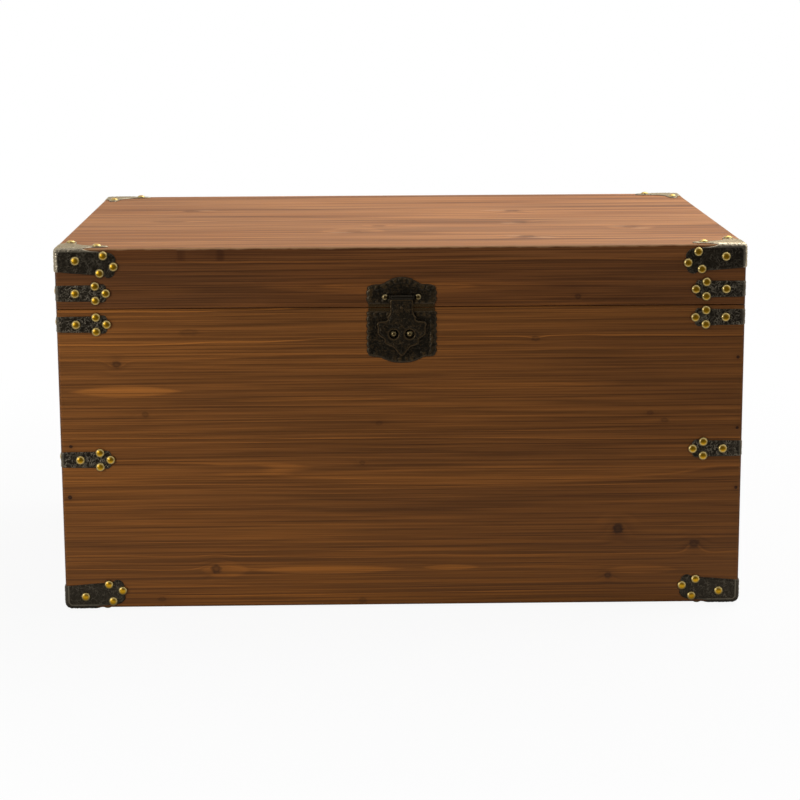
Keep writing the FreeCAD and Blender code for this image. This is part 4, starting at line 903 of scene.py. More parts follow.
for strap_node, body in (("lid_straps", "lid"), ("upper_straps", "chest"), ("middle_straps", "chest")):
    outer, inner, faces = [], [], []
    for corner_name, (towards_x, towards_y) in CORNER_SIGNS.items():
        turn = np.array((towards_x, towards_y, 1.0))
        place = np.array((*corner_at[corner_name], middle_height(strap_node, towards_x, towards_y)))
        start = len(outer) * len(strap_points)
        way = 1 if turn.prod() < 0 else -1
        faces += [[start + corner for corner in face[::way]] for face in strap_faces]
        outer.append(strap_outer * turn + place)
        inner.append(strap_inner * turn + place)
    marks = {label: np.tile(values, len(outer)) for label, values in strap_marks.items()}
    mesh = shell(f"{strap_node}_pressed", np.concatenate(outer), np.concatenate(inner), faces, marks)
    new_piece(mesh, body, strap_node, black_iron)

# Domed tacks: stamped brass heads on a steel shank, driven through the iron into the wood by hand.
# Each sits a little turned and tilted; the frame gives every head's seat.
TACK_RADIUS = 5.6 * MM
TACK_HEIGHT = 2.8 * MM
TACK_TILT = math.radians(3.0)
HEAD_TURN = math.pi
BRASS_FOOT_SHADOW = as_seen(70, 54, 24)
HEAD_SIDES = 14
HEAD_RINGS = (0.0, 0.34, 0.62, 0.85)


def turns(count):
    """Even angles once round."""
    return [2 * math.pi * number / count for number in range(count)]


def skin_over(shape, rows, closed=False):
    """Faces between rows of points that go round a shape; a row of one point is a tip."""
    for lower, upper in zip(rows, rows[1:] + (rows[:1] if closed else [])):
        sides = max(len(lower), len(upper))
        for number in range(sides):
            after = (number + 1) % sides
            ring = [lower[number % len(lower)], lower[after % len(lower)],
                    upper[after % len(upper)], upper[number % len(upper)]]
            shape.faces.new(list(dict.fromkeys(ring)))


def domed_head(name, radius, height):
    """A low dome with a flat underside and its slopes marked, standing on the origin, to be repeated."""
    head = bmesh.new()
    slope = head.verts.layers.float.new("slope")
    rows = []
    for share in HEAD_RINGS:
        angle = share * math.pi / 2
        wide = radius * math.cos(angle)
        rows.append([head.verts.new((wide * math.cos(turn), wide * math.sin(turn), height * math.sin(angle)))
                     for turn in turns(HEAD_SIDES)])
    rows.append([head.verts.new((0.0, 0.0, height))])
    skin_over(head, rows)
    for face in head.faces:
        face.smooth = True
    head.normal_update()
    for spot in head.verts:
        spot[slope] = 1.0 - spot.normal.z
    head.faces.new(rows[0][::-1])
    return bpy.data.objects.new(name, kept_mesh(head, name, smooth=False))


def seats_of(node):
    """Where each head of a node sits: the middle of its underside and the way it points."""
    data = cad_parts[node].data
    spots = [tuple(round(part / MM, 2) for part in vertex.co) for vertex in data.vertices]
    leader = {spot: spot for spot in spots}

    def lead(spot):
        while leader[spot] != spot:
            leader[spot] = leader[leader[spot]]
            spot = leader[spot]
        return spot

    for polygon in data.polygons:
        first, *others = (spots[corner] for corner in polygon.vertices)
        for other in others:
            leader[lead(other)] = lead(first)
    groups = {}
    for spot in leader:
        groups.setdefault(lead(spot), []).append(spot)
    seats = []
    chest_middle = (cad_low + cad_high) / 2
    for group in groups.values():
        solid = np.array(group) * MM
        low, high = solid.min(0), solid.max(0)
        axis = int(np.argmin(high - low))
        seat = (low + high) / 2
        way = 1.0 if seat[axis] > chest_middle[axis] else -1.0
        seat[axis] = low[axis] if way > 0 else high[axis]
        out = np.zeros(3)
        out[axis] = way
        seats.append((tuple(seat), tuple(out)))
    return sorted(seats)


driven_heads = bpy.data.node_groups.new("driven_heads", "GeometryNodeTree")
HEAD_INPUTS = (("Seats", "Geometry"), ("Head", "Object"), ("Finish", "Material"), ("Tilt", "Float"),
               ("Turn", "Float"), ("Seed", "Int"))
head_socket = {}
for label, kind in HEAD_INPUTS:
    socket = driven_heads.interface.new_socket(label, in_out="INPUT", socket_type=f"NodeSocket{kind}")
    head_socket[label] = socket.identifier
driven_heads.interface.new_socket("Heads", in_out="OUTPUT", socket_type="NodeSocketGeometry")
given = driven_heads.nodes.new("NodeGroupInput").outputs
out_way = fit(driven_heads, "GeometryNodeInputNamedAttribute", {"Name": "out"}, data_type="FLOAT_VECTOR")
upright = fit(driven_heads, "FunctionNodeAlignRotationToVector", {"Vector": out_way.outputs["Attribute"]},
              axis="Z")
lean = fit(driven_heads, "FunctionNodeRandomValue", {"Seed": given["Seed"]}, data_type="FLOAT_VECTOR")
spread = fit(driven_heads, "ShaderNodeCombineXYZ", {0: given["Tilt"], 1: given["Tilt"], 2: given["Turn"]})
driven_heads.links.new(steer("MULTIPLY", spread.outputs[0], (-1.0, -1.0, -1.0)), lean.inputs[0])
driven_heads.links.new(spread.outputs[0], lean.inputs[1])
leaning = fit(driven_heads, "FunctionNodeEulerToRotation", {0: lean.outputs[0]})
turned_way = fit(driven_heads, "FunctionNodeRotateRotation",
                 {0: upright.outputs[0], 1: leaning.outputs[0]}, rotation_space="LOCAL")
head_shape = fit(driven_heads, "GeometryNodeObjectInfo", {"Object": given["Head"]})
placed = fit(driven_heads, "GeometryNodeInstanceOnPoints",
             {"Points": given["Seats"], "Instance": head_shape.outputs["Geometry"],
              "Rotation": turned_way.outputs[0]})
real = fit(driven_heads, "GeometryNodeRealizeInstances", {0: placed.outputs[0]})
finished = fit(driven_heads, "GeometryNodeSetMaterial",
               {"Geometry": real.outputs[0], "Material": given["Finish"]})
fit(driven_heads, "NodeGroupOutput", {0: finished.outputs[0]})


def drive_heads(node, body, head, finish, tilt, seed):
    """Set a head on every seat of a node and keep the result as one plain mesh."""
    name = f"{node}_driven"
    seats = seats_of(node)
    mesh = bpy.data.meshes.new(f"{name}_seats")
    mesh.from_pydata([seat for seat, _ in seats], [], [])
    ways = mesh.attributes.new("out", "FLOAT_VECTOR", "POINT")
    ways.data.foreach_set("vector", [part for _, out in seats for part in out])
    holder = bpy.data.objects.new(f"{name}_seats", mesh)
    bpy.context.scene.collection.objects.link(holder)
    heads = holder.modifiers.new("heads", "NODES")
    heads.node_group = driven_heads
    settings = {"Head": head, "Finish": finish, "Tilt": tilt, "Turn": HEAD_TURN, "Seed": seed}
    for label, value in settings.items():
        heads[head_socket[label]] = value
    ready = holder.evaluated_get(bpy.context.evaluated_depsgraph_get())
    driven = bpy.data.meshes.new_from_object(ready)
    driven.name = name
    holder.modifiers.clear()
    bpy.data.objects.remove(holder)
    new_piece(driven, body, node, finish)


def domed_brass(name, heart, rim, rough):
    """Lacquered brass, deep gold on a dome's crown, with painted reflection down its sides and painted shadow
    at its foot.
    """
    finish, tree = new_finish(name)
    slope = fit(tree, "ShaderNodeAttribute", attribute_name="slope").outputs["Fac"]
    place = fit(tree, "ShaderNodeTexCoord").outputs["Object"]
    wear_and_sheen = place_effect(tree, metal_wear, {"Place": place, "Rub": 0.0, "Relief": 0.0, "Pressed": 0.0})
    # Painted reflection and shadow: pale where the dome slopes away, dark near its foot.
    colour = mingle(between(slope, 0.03, 0.2), as_seen(*heart), as_seen(*rim))
    colour = mingle(between(slope, 0.5, 0.8, 0.0, 0.7), colour, BRASS_FOOT_SHADOW)
    gloss = between(wear_and_sheen["Mottle"], 0.3, 0.7, rough - 0.03, rough + 0.05)
    end_finish(tree, {"Base Color": colour, "Metallic": 1.0, "Roughness": gloss})
    return finish


tack_brass = domed_brass("tack_brass", (202, 152, 30), (190, 168, 108), 0.34)
tack_head = domed_head("tack_head", TACK_RADIUS, TACK_HEIGHT)
for tack_node, body, tack_seed in (("lid_tacks", "lid", 11), ("chest_tacks", "chest", 12),
                                   ("foot_tacks", "chest", 13)):
    drive_heads(tack_node, body, tack_head, tack_brass, TACK_TILT, tack_seed)

# Latch plates: cast antique bronze with a gadrooned border and scrolled field, laid flat on the front.
# The lower one is nailed to the chest, the upper one to the lid.
SEAM_HEIGHT = (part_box("front_upper_board")[1].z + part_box("lid_front_board")[0].z) / 2
LATCH_PITCH = 0.8 * MM
GADROON_PITCH = 7.4 * MM
GADROON_BAND = (0.8 * MM, 7.5 * MM)
GADROON_HEIGHT = 1.0 * MM
FIELD_HEIGHT = 0.7 * MM
SCALLOP_DEPTH = 1.4 * MM
LATCH_PRESSED = 0.6
LOWER_PLATE_HALF = [
    (0.0, -4.4), (20.0, -4.4), (36.5, -4.4), (39.2, -6.2), (39.6, -11.0), (39.6, -25.0), (39.6, -40.0),
    (39.4, -51.0), (38.4, -55.6), (35.0, -57.8), (29.0, -58.4), (24.0, -59.4), (18.0, -62.2), (10.0, -64.8),
    (0.0, -65.6),
]
UPPER_PLATE_HALF = [
    (0.0, 35.4), (8.0, 34.4), (15.0, 31.2), (20.5, 28.0), (25.0, 27.0), (32.0, 26.6), (37.2, 24.8),
    (39.4, 20.6), (39.6, 13.0), (39.2, 6.0), (37.6, 3.6), (33.0, 3.4), (15.0, 3.4), (0.0, 3.4),
]
PLATE_RUB = 0.2
RIM_INSET = 1.2 * MM
RIM_RUB_WIDTH = 0.7 * MM
CAST_EDGE_DROP = 0.6 * MM
CAST_EDGE_ROLL = 1.1 * MM
BAND_FADE = 1.5 * MM
PLATE_SCROLL = 1.3
LIP_RUB = 0.75
LIP_HALF = 38.6 * MM
LIP_SINK = 0.5 * MM
LIP_LAP = 1.2 * MM
LIP_EASE = 0.25 * MM
# Where each lip ends: next to the seam, and where the embossed field takes over.
LOWER_LIP = (-4.4 * MM, -0.7 * MM)
UPPER_LIP = (0.5 * MM, 3.4 * MM)


def mirrored_line(half, step, scallop=0.0):
    """A closed outline from its right half, with scallops along its upright sides."""
    right_half = smooth_line([Vector(corner) * MM for corner in half], step)
    run = 0.0
    bumped = []
    for number, point in enumerate(right_half):
        if number:
            run += (point - right_half[number - 1]).length
        ahead = right_half[min(number + 1, len(right_half) - 1)] - right_half[max(number - 1, 0)]
        outward = Vector((abs(ahead.y), 0.0)) / max(ahead.length, 1e-9)
        bumped.append(point + outward * scallop * abs(math.sin(math.pi * run / GADROON_PITCH)))
    return bumped + [Vector((-point.x, point.y)) for point in reversed(bumped[1:-1])]


def run_to(points, loop):
    """Reach of each point to a loop, and how far round the loop its nearest place is."""
    ends = np.roll(loop, -1, axis=0)
    lengths = np.linalg.norm(ends - loop, axis=1)
    starts = np.concatenate([[0.0], np.cumsum(lengths)[:-1]])
    reach, share = side_gaps(points, loop, ends)
    nearest = reach.argmin(1)
    rows = np.arange(len(points))
    return reach[rows, nearest], starts[nearest] + share[rows, nearest] * lengths[nearest]


def embossed_plate(name, outline, holes, level, relief, rim_rub):
    """A flat embossed plate on the front: outline in metres from the seam, its face at a given depth."""
    points, faces, reach = flat_net(outline, LATCH_PITCH, holes)
    heights = relief(points, reach)
    depth = np.full(len(points), level)
    height = points[:, 1] + SEAM_HEIGHT
    outer = np.stack([points[:, 0], depth - heights, height], axis=1)
    inner = np.stack([points[:, 0], depth + PLATE_THICKNESS, height], axis=1)
    marks = {"rub": np.clip(1.2 - np.abs(reach - RIM_INSET) / RIM_RUB_WIDTH, 0, 1) * rim_rub,
             "relief": heights / (GADROON_HEIGHT + 0.1 * MM), "pressed": np.full(len(points), LATCH_PRESSED)}
    return shell(name, outer, inner, faces, marks)


def rolled_edge(reach):
    """How far a cast edge falls away close to its outline."""
    return CAST_EDGE_DROP * np.clip(1 - reach / CAST_EDGE_ROLL, 0, 1) ** 2


def plate_relief(loop):
    """Relief of a latch plate: a row of round gadroons along the border and scrolls inside."""
    loop = np.array([tuple(point) for point in loop])

    def relief(points, _):
        reach, run = run_to(points, loop)
        lobes = np.abs(np.sin(np.pi * run / GADROON_PITCH)) ** 0.7
        band = np.clip((reach - GADROON_BAND[0]) / BAND_FADE, 0, 1)
        band = band * np.clip((GADROON_BAND[1] - reach) / BAND_FADE, 0, 1)
        field = np.clip((reach - GADROON_BAND[1]) / BAND_FADE, 0, 1)
        stems = np.array([scroll(*point * PLATE_SCROLL) for point in points])
        mirrored = np.array([scroll(abs(point[0]) * PLATE_SCROLL, point[1] * PLATE_SCROLL)
                             for point in points])
        stems = np.maximum(mirrored, 0.3 * stems)
        return GADROON_HEIGHT * lobes * band + FIELD_HEIGHT * stems * field - rolled_edge(reach)

    return relief


latch_bronze = metal_finish("latch_bronze", (20, 16, 11), (118, 94, 62), (30, 25, 18), 0.5, 0.32, 0.4)
LATCH_FACE_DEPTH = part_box("latch_lower_plate")[0].y
PLATE_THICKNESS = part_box("latch_lower_plate")[1].y - LATCH_FACE_DEPTH


def plain_lip(name, low, high):
    """The plain strip of a plate next to the seam, a little sunk behind the embossed part."""
    strip = block((-LIP_HALF, LATCH_FACE_DEPTH + LIP_SINK, SEAM_HEIGHT + low),
                  (LIP_HALF, LATCH_FACE_DEPTH + PLATE_THICKNESS, SEAM_HEIGHT + high))
    bmesh.ops.bevel(strip, geom=strip.edges[:], offset=LIP_EASE, segments=2, affect="EDGES", profile=0.5)
    rub = strip.verts.layers.float.new("rub")
    for spot in strip.verts:
        spot[rub] = LIP_RUB
    return kept_mesh(strip, name, smooth=False)


def joined(name, meshes):
    """Several meshes as one, with their marks kept."""
    whole = bmesh.new()
    for mesh in meshes:
        whole.from_mesh(mesh)
        bpy.data.meshes.remove(mesh)
    return kept_mesh(whole, name, smooth=False)


def latch_field(name, half):
    """The embossed part of a latch plate, from the right half of its outline."""
    outline = mirrored_line(half, LATCH_PITCH, SCALLOP_DEPTH)
    return embossed_plate(name, outline, [], LATCH_FACE_DEPTH, plate_relief(outline), PLATE_RUB)


lower_pieces = [latch_field("lower_field", LOWER_PLATE_HALF),
                plain_lip("lower_lip", LOWER_LIP[0] - LIP_LAP, LOWER_LIP[1])]
new_piece(joined("latch_lower_plate_cast", lower_pieces), "chest", "latch_lower_plate", latch_bronze)

# Upper plate: cast bronze like the lower one, with two ears that hold a turned pin, nailed to the lid.
# Domed brass nails hold both plates; the lower ones show through the eyes of the flap.
pin_low, pin_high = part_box("hasp_pin")
HASP_AXIS = (pin_low + pin_high) / 2
PIN_RADIUS = (pin_high.z - pin_low.z) / 2
PIN_EASE = 0.3 * MM
EAR_THICKNESS = 1.2 * MM
EAR_RADIUS = 3.0 * MM
EAR_BORE = PIN_RADIUS + 0.05 * MM
UPPER_NAIL_RADIUS, UPPER_NAIL_HEIGHT = 4.0 * MM, 3.0 * MM
LOWER_NAIL_RADIUS, LOWER_NAIL_HEIGHT = 4.3 * MM, 4.2 * MM
LUG_SIDES = 32
LUG_EASE = 0.12
CREASE = math.radians(50)
UP = Vector((0, 0, 1))


def turned(name, profile, start, direction, sides=22):
    """A shape spun round a direction, from radius and distance pairs; off the axis it closes as a ring."""
    way = Vector(direction).normalized()
    side = way.orthogonal().normalized()
    other = way.cross(side)
    arms = [math.cos(turn) * side + math.sin(turn) * other for turn in turns(sides)]
    shape = bmesh.new()
    rows = []
    for radius, distance in profile:
        middle = Vector(start) + way * distance
        rows.append([shape.verts.new(middle + radius * arm) for arm in (arms if radius else arms[:1])])
    skin_over(shape, rows, closed=profile[0][0] > 0)
    return kept_mesh(shape, name, outward=True)


def pin_profile(radius, length, ease):
    """Profile of a plain pin with eased ends."""
    return [(0, 0), (radius - ease, 0), (radius, ease),
            (radius, length - ease), (radius - ease, length), (0, length)]


def lug(name, axis_point, along, out, length, radius, bore, stand):
    """A lug that stands on a plate and holds a pin: round outside the pin, straight down to the plate."""
    along, out = Vector(along), Vector(out)
    ease = LUG_EASE * radius
    shape = bmesh.new()

    def ring(distance, shrink=None):
        """One ring round the pin: on the bore, or on the outside when told how far to shrink it."""
        row = []
        for turn in turns(LUG_SIDES):
            across, rise = math.cos(turn), math.sin(turn)
            reach = bore
            if shrink is not None:
                limits = [radius]
                if across < 0:
                    limits = [radius / max(abs(rise), 1e-6), stand / max(-across, 1e-6)]
                reach = min(limits) - shrink
            arm = reach * (across * out + rise * UP)
            row.append(shape.verts.new(Vector(axis_point) + along * distance + arm))
        return row

    rows = [ring(0), ring(0, ease), ring(ease, 0), ring(length - ease, 0), ring(length, ease), ring(length)]
    skin_over(shape, rows, closed=True)
    mesh = kept_mesh(shape, name, outward=True)
    mesh.set_sharp_from_angle(angle=CREASE)
    return mesh


upper_pieces = [latch_field("upper_field", UPPER_PLATE_HALF),
                plain_lip("upper_lip", UPPER_LIP[0], UPPER_LIP[1] + LIP_LAP)]
for ear_start in (pin_low.x, pin_high.x - EAR_THICKNESS):
    upper_pieces.append(lug("ear", (ear_start, HASP_AXIS.y, HASP_AXIS.z), (1, 0, 0), (0, -1, 0),
                            EAR_THICKNESS, EAR_RADIUS, EAR_BORE, LATCH_FACE_DEPTH - HASP_AXIS.y))
new_piece(joined("latch_upper_plate_cast", upper_pieces), "lid", "latch_upper_plate", latch_bronze)
hasp_pin = turned("hasp_pin_turned", pin_profile(PIN_RADIUS, pin_high.x - pin_low.x, PIN_EASE),
                  (pin_low.x, HASP_AXIS.y, HASP_AXIS.z), (1, 0, 0))
new_piece(hasp_pin, "lid", "hasp_pin", latch_bronze)
nail_brass = domed_brass("nail_brass", (104, 82, 44), (146, 130, 94), 0.3)
upper_nail_head = domed_head("upper_nail_head", UPPER_NAIL_RADIUS, UPPER_NAIL_HEIGHT)
lower_nail_head = domed_head("lower_nail_head", LOWER_NAIL_RADIUS, LOWER_NAIL_HEIGHT)
drive_heads("latch_upper_nails", "lid", upper_nail_head, nail_brass, TACK_TILT, 21)
drive_heads("latch_lower_nails", "chest", lower_nail_head, nail_brass, TACK_TILT, 22)

# Hasp flap: a cast bronze shield with a raised rim and scrolls, its knuckle rolled round the pin.
# Two round eyes go over the nails of the lower plate and show their heads.
FLAP_HALF = [
    (0.0, 10.0), (11.0, 10.0), (13.2, 8.6), (13.6, 3.0), (13.4, -3.0), (14.6, -8.0), (17.2, -11.4),
    (16.4, -14.0), (20.0, -15.6), (26.4, -16.2), (29.2, -19.4), (28.0, -23.0), (28.2, -27.0), (27.8, -31.0),
    (24.6, -34.0), (20.6, -36.6), (19.8, -41.4), (15.0, -44.4), (10.4, -46.0), (6.4, -50.6), (2.6, -55.6),
    (0.0, -56.8),
]
EYE_OFFSET = 9.2 * MM
EYE_DROP = -31.0 * MM
EYE_RADIUS = 5.4 * MM
EYE_SIDES = 30
RIM_HEIGHT = 0.7 * MM
RIM_WIDTH = 0.6 * MM
FLAP_FIELD = 2.2 * MM
FLAP_SCROLL = 1.5
FLAP_SCROLL_SHIFT = 0.3
FLAP_CROWN = 0.5 * MM
FLAP_RUB = 0.6
FLAP_FACE = HASP_AXIS.y - PLATE_THICKNESS
flap_outline = mirrored_line(FLAP_HALF, LATCH_PITCH)
flap_eyes = [[Vector((sign * EYE_OFFSET + EYE_RADIUS * math.cos(turn),
                      EYE_DROP + EYE_RADIUS * math.sin(turn)))
              for turn in turns(EYE_SIDES)] for sign in (-1, 1)]


def flap_relief(points, reach):
    """Raised rim along the outline and round the eyes, scrolls between, domed a little in the middle."""
    rim = RIM_HEIGHT * np.exp(-((reach - RIM_INSET) / RIM_WIDTH) ** 2)
    field = np.clip((reach - FLAP_FIELD) / BAND_FADE, 0, 1)
    stems = np.array([scroll(abs(point[0]) * FLAP_SCROLL + FLAP_SCROLL_SHIFT, point[1] * FLAP_SCROLL)
                      for point in points])
    return rim + FIELD_HEIGHT * stems * field + FLAP_CROWN * field - rolled_edge(reach)


flap_pieces = [embossed_plate("flap_field", flap_outline, flap_eyes, FLAP_FACE, flap_relief, FLAP_RUB)]
KNUCKLE_HALF = 13.0 * MM
KNUCKLE_BORE = PIN_RADIUS + 0.15 * MM
# Knuckle as shares of its length with the radius there in millimetres: two turned grooves, eased ends.
KNUCKLE_TURNING = [(0.0, 2.5), (0.02, 3.0), (0.10, 3.0), (0.13, 2.7), (0.16, 3.0), (0.84, 3.0), (0.87, 2.7),
                   (0.90, 3.0), (0.98, 3.0), (1.0, 2.5)]
knuckle_profile = [(radius * MM, share * 2 * KNUCKLE_HALF) for share, radius in KNUCKLE_TURNING]
knuckle_profile = [(KNUCKLE_BORE, 0), *knuckle_profile, (KNUCKLE_BORE, 2 * KNUCKLE_HALF)]
flap_pieces.append(turned("flap_knuckle", knuckle_profile, (-KNUCKLE_HALF, HASP_AXIS.y, HASP_AXIS.z),
                          (1, 0, 0)))
new_piece(joined("hasp_flap_cast", flap_pieces), "hasp", "hasp_flap", latch_bronze)

# Butt hinges on the back: blacked steel leaves with rolled knuckles, a loose pin with domed ends,
# and round-head slotted screws.
LEAF_EASE = 0.5 * MM
LEAF_ROUND_STEPS = 2
HINGE_PIN_EASE = 0.6 * MM


def eased_copy(node, body, finish, ease):
    """A node's own shape with clean faces and softened edges."""
    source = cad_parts[node].data
    shape = bmesh.new()
    spots = [shape.verts.new(vertex.co) for vertex in source.vertices]
    for polygon in source.polygons:
        shape.faces.new([spots[corner] for corner in polygon.vertices])
    bmesh.ops.remove_doubles(shape, verts=shape.verts, dist=MM / 500)
    bmesh.ops.dissolve_limit(shape, angle_limit=math.radians(1), verts=shape.verts, edges=shape.edges)
    soften(new_piece(kept_mesh(shape, f"{node}_eased"), body, node, finish), ease, LEAF_ROUND_STEPS, "ANGLE")


SCREW_RADIUS = 4.0 * MM
SCREW_HEIGHT = 2.7 * MM
SCREW_BASE = 1.1 * MM
SLOT_HALF = 0.55 * MM


def slotted_head(name):
    """A round screw head with its slot, standing on the origin, as the shape that is repeated."""
    parts = []
    for way in (1, -1):
        dome = domed_head("half", SCREW_RADIUS, SCREW_HEIGHT)
        half = bmesh.new()
        half.from_mesh(dome.data)
        bpy.data.meshes.remove(dome.data)
        everything = half.verts[:] + half.edges[:] + half.faces[:]
        cut = bmesh.ops.bisect_plane(half, geom=everything, plane_co=(0, way * SLOT_HALF, 0),
                                     plane_no=(0, -way, 0), clear_outer=True)
        rim = [part for part in cut["geom_cut"] if isinstance(part, bmesh.types.BMEdge)]
        bmesh.ops.edgeloop_fill(half, edges=rim)
        parts.append(kept_mesh(half, "half", smooth=False, outward=True))
    foot, neck = 0.93 * SCREW_RADIUS, 0.9 * SCREW_RADIUS
    parts.append(turned("base", [(0, 0), (foot, 0), (neck, SCREW_BASE), (0, SCREW_BASE)],
                        (0, 0, 0), (0, 0, 1), HEAD_SIDES))
    return bpy.data.objects.new(name, joined(name, parts))


screw_head = slotted_head("screw_head")
for hand in ("left", "right"):
    eased_copy(f"{hand}_hinge_lower_leaf", "chest", black_iron, LEAF_EASE)
    eased_copy(f"{hand}_hinge_upper_leaf", "lid", black_iron, LEAF_EASE)
    hinge_low, hinge_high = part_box(f"{hand}_hinge_pin")
    hinge_middle = (hinge_low + hinge_high) / 2
    hinge_profile = pin_profile((hinge_high.z - hinge_low.z) / 2, hinge_high.x - hinge_low.x, HINGE_PIN_EASE)
    hinge_pin = turned(f"{hand}_hinge_pin_turned", hinge_profile,
                       (hinge_low.x, hinge_middle.y, hinge_middle.z), (1, 0, 0))
    new_piece(hinge_pin, "chest", f"{hand}_hinge_pin", black_iron)
drive_heads("hinge_lower_screws", "chest", screw_head, black_iron, 0.0, 31)
drive_heads("hinge_upper_screws", "lid", screw_head, black_iron, 0.0, 32)

# Drop handles on the ends: a pressed iron plate with two lugs, screwed to the end board, and a forged bail
# that is thicker where it is gripped.
HANDLE_PLATE_LENGTH = 152.0 * MM
HANDLE_PLATE_HEIGHT = 32.0 * MM
HANDLE_PLATE_THICKNESS = 2.0 * MM
LUG_RADIUS = 6.0 * MM
LUG_LENGTH = 7.0 * MM
STUB_RADIUS = 3.0 * MM
BAIL_HALF = 44.0 * MM
BAIL_DROP = 44.0 * MM
BAIL_BEND = 14.0 * MM
BAIL_TOP = 2.0 * MM
BAIL_SIDES = 16
BAIL_STEP = 3.0 * MM
BEND_STEPS = 8
# Half width and half thickness of the bail in millimetres, each with what the grip adds.
BAIL_WIDE, GRIP_WIDE = 4.0, 0.7
BAIL_THICK, GRIP_THICK = 3.5, 0.8
BAIL_SQUARE = 2.6
END_SWELL = (0.55, 0.9, 1.0)
STUB_EASE = 0.5 * MM
STUB_PLAY = 0.05 * MM
PLATE_END_STEPS = 36
PLATE_BEAD = 0.5 * MM
PLATE_BEAD_INSET = 3.0 * MM
PLATE_BEAD_WIDTH = 1.2 * MM
PLATE_EDGE_RUB = 1.5 * MM


def handle_plate(name, node, body, way):
    """Plate with rounded ends and two lugs; way is +1 on the right end and -1 on the left."""
    low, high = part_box(node)
    wall = low.x if way > 0 else high.x
    middle = (low + high) / 2
    straight = HANDLE_PLATE_LENGTH / 2 - HANDLE_PLATE_HEIGHT / 2
    half_height = HANDLE_PLATE_HEIGHT / 2
    outline = straight_line((-straight, -half_height), (straight, -half_height), 2 * NET_PITCH)
    arc = [math.pi * number / PLATE_END_STEPS - math.pi / 2 for number in range(PLATE_END_STEPS)]
    end = [Vector((straight + half_height * math.cos(turn), half_height * math.sin(turn))) for turn in arc]
    outline += end
    outline += straight_line((straight, half_height), (-straight, half_height), 2 * NET_PITCH)
    outline += [-point for point in end]
    points, faces, reach = flat_net(outline, 1.8 * NET_PITCH)
    if way < 0:
        faces = [face[::-1] for face in faces]
    heights = PLATE_BEAD * np.exp(-((reach - PLATE_BEAD_INSET) / PLATE_BEAD_WIDTH) ** 2) - rolled_edge(reach)
    face_level = wall + way * HANDLE_PLATE_THICKNESS
    outer = np.stack([face_level + way * heights, points[:, 0], points[:, 1] + middle.z], axis=1)
    inner = np.stack([np.full(len(points), wall), points[:, 0], points[:, 1] + middle.z], axis=1)
    marks = {"rub": np.clip(1 - reach / PLATE_EDGE_RUB, 0, 1), "relief": np.zeros(len(points))}
    pieces = [shell("plate", outer, inner, faces, marks)]
    bail_low, bail_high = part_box(node.replace("plate", "bail"))
    axis_x = (bail_low.x + bail_high.x) / 2
    for start in (bail_low.y, bail_high.y - LUG_LENGTH):
        pieces.append(lug("lug", (axis_x, start, middle.z), (0, 1, 0), (way, 0, 0), LUG_LENGTH, LUG_RADIUS,
                          STUB_RADIUS + STUB_PLAY, abs(axis_x - wall)))
    new_piece(joined(name, pieces), body, node, black_iron)
    return axis_x, middle.z, bail_high.y


def forged_bail(name, node, body, axis_x, axis_z, stub_end):
    """A bail swept along its bend, thicker in the grip, with round stubs in the lugs."""
    path = straight_line((-BAIL_HALF, BAIL_TOP), (-BAIL_HALF, -BAIL_DROP + BAIL_BEND), BAIL_STEP)
    bend_middle = Vector((-BAIL_HALF + BAIL_BEND, -BAIL_DROP + BAIL_BEND))
    path += [bend_middle - BAIL_BEND * Vector((math.cos(turn), math.sin(turn)))
             for turn in (math.pi / 2 * number / BEND_STEPS for number in range(BEND_STEPS))]
    path += straight_line((-BAIL_HALF + BAIL_BEND, -BAIL_DROP), (0, -BAIL_DROP), BAIL_STEP)
    path += [Vector((0, -BAIL_DROP))]
    path += [Vector((-point.x, point.y)) for point in reversed(path[:-1])]
    shape = bmesh.new()
    rows = []
    for number, point in enumerate(path):
        ahead = (path[min(number + 1, len(path) - 1)] - path[max(number - 1, 0)]).normalized()
        side = Vector((-ahead.y, ahead.x))
        grip = max(0.0, 1 - (point.x / (0.7 * BAIL_HALF)) ** 2) if point.y < -0.8 * BAIL_DROP else 0.0
        from_end = min(number, len(path) - 1 - number)
        swell = END_SWELL[min(from_end, len(END_SWELL) - 1)] * MM
        wide, thick = (BAIL_WIDE + GRIP_WIDE * grip) * swell, (BAIL_THICK + GRIP_THICK * grip) * swell
        row = []
        for turn in turns(BAIL_SIDES):
            across, out = math.cos(turn), math.sin(turn)
            square = (abs(across) ** BAIL_SQUARE + abs(out) ** BAIL_SQUARE) ** (-1 / BAIL_SQUARE)
            shift = side * (wide * square * across)
            row.append(shape.verts.new((axis_x + thick * square * out, point.x + shift.x,
                                        axis_z + point.y + shift.y)))
        rows.append(row)
    skin_over(shape, rows)
    shape.faces.new(rows[0][::-1])
    shape.faces.new(rows[-1])
    bar = kept_mesh(shape, "bar", outward=True)
    stub = pin_profile(STUB_RADIUS, stub_end - BAIL_HALF, STUB_EASE)
    stubs = [turned("stub", stub, (axis_x, sign * BAIL_HALF, axis_z), (0, sign, 0)) for sign in (-1, 1)]
    new_piece(joined(name, [bar, *stubs]), body, node, black_iron)


for hand, way in (("left", -1), ("right", 1)):
    bail_axis = handle_plate(f"{hand}_handle_plate_pressed", f"{hand}_handle_plate", "chest", way)
    forged_bail(f"{hand}_handle_bail_forged", f"{hand}_handle_bail", f"{hand}_handle", *bail_axis)
drive_heads("handle_screws", "chest", screw_head, black_iron, 0.0, 33)

# Lid stay inside the right end: a flat steel arm that hangs from a headed pivot on the lid, with a long slot
# that slides over a headed stud in the chest.
STAY_EASE = 0.4 * MM
STAY_PLAY = 0.4 * MM
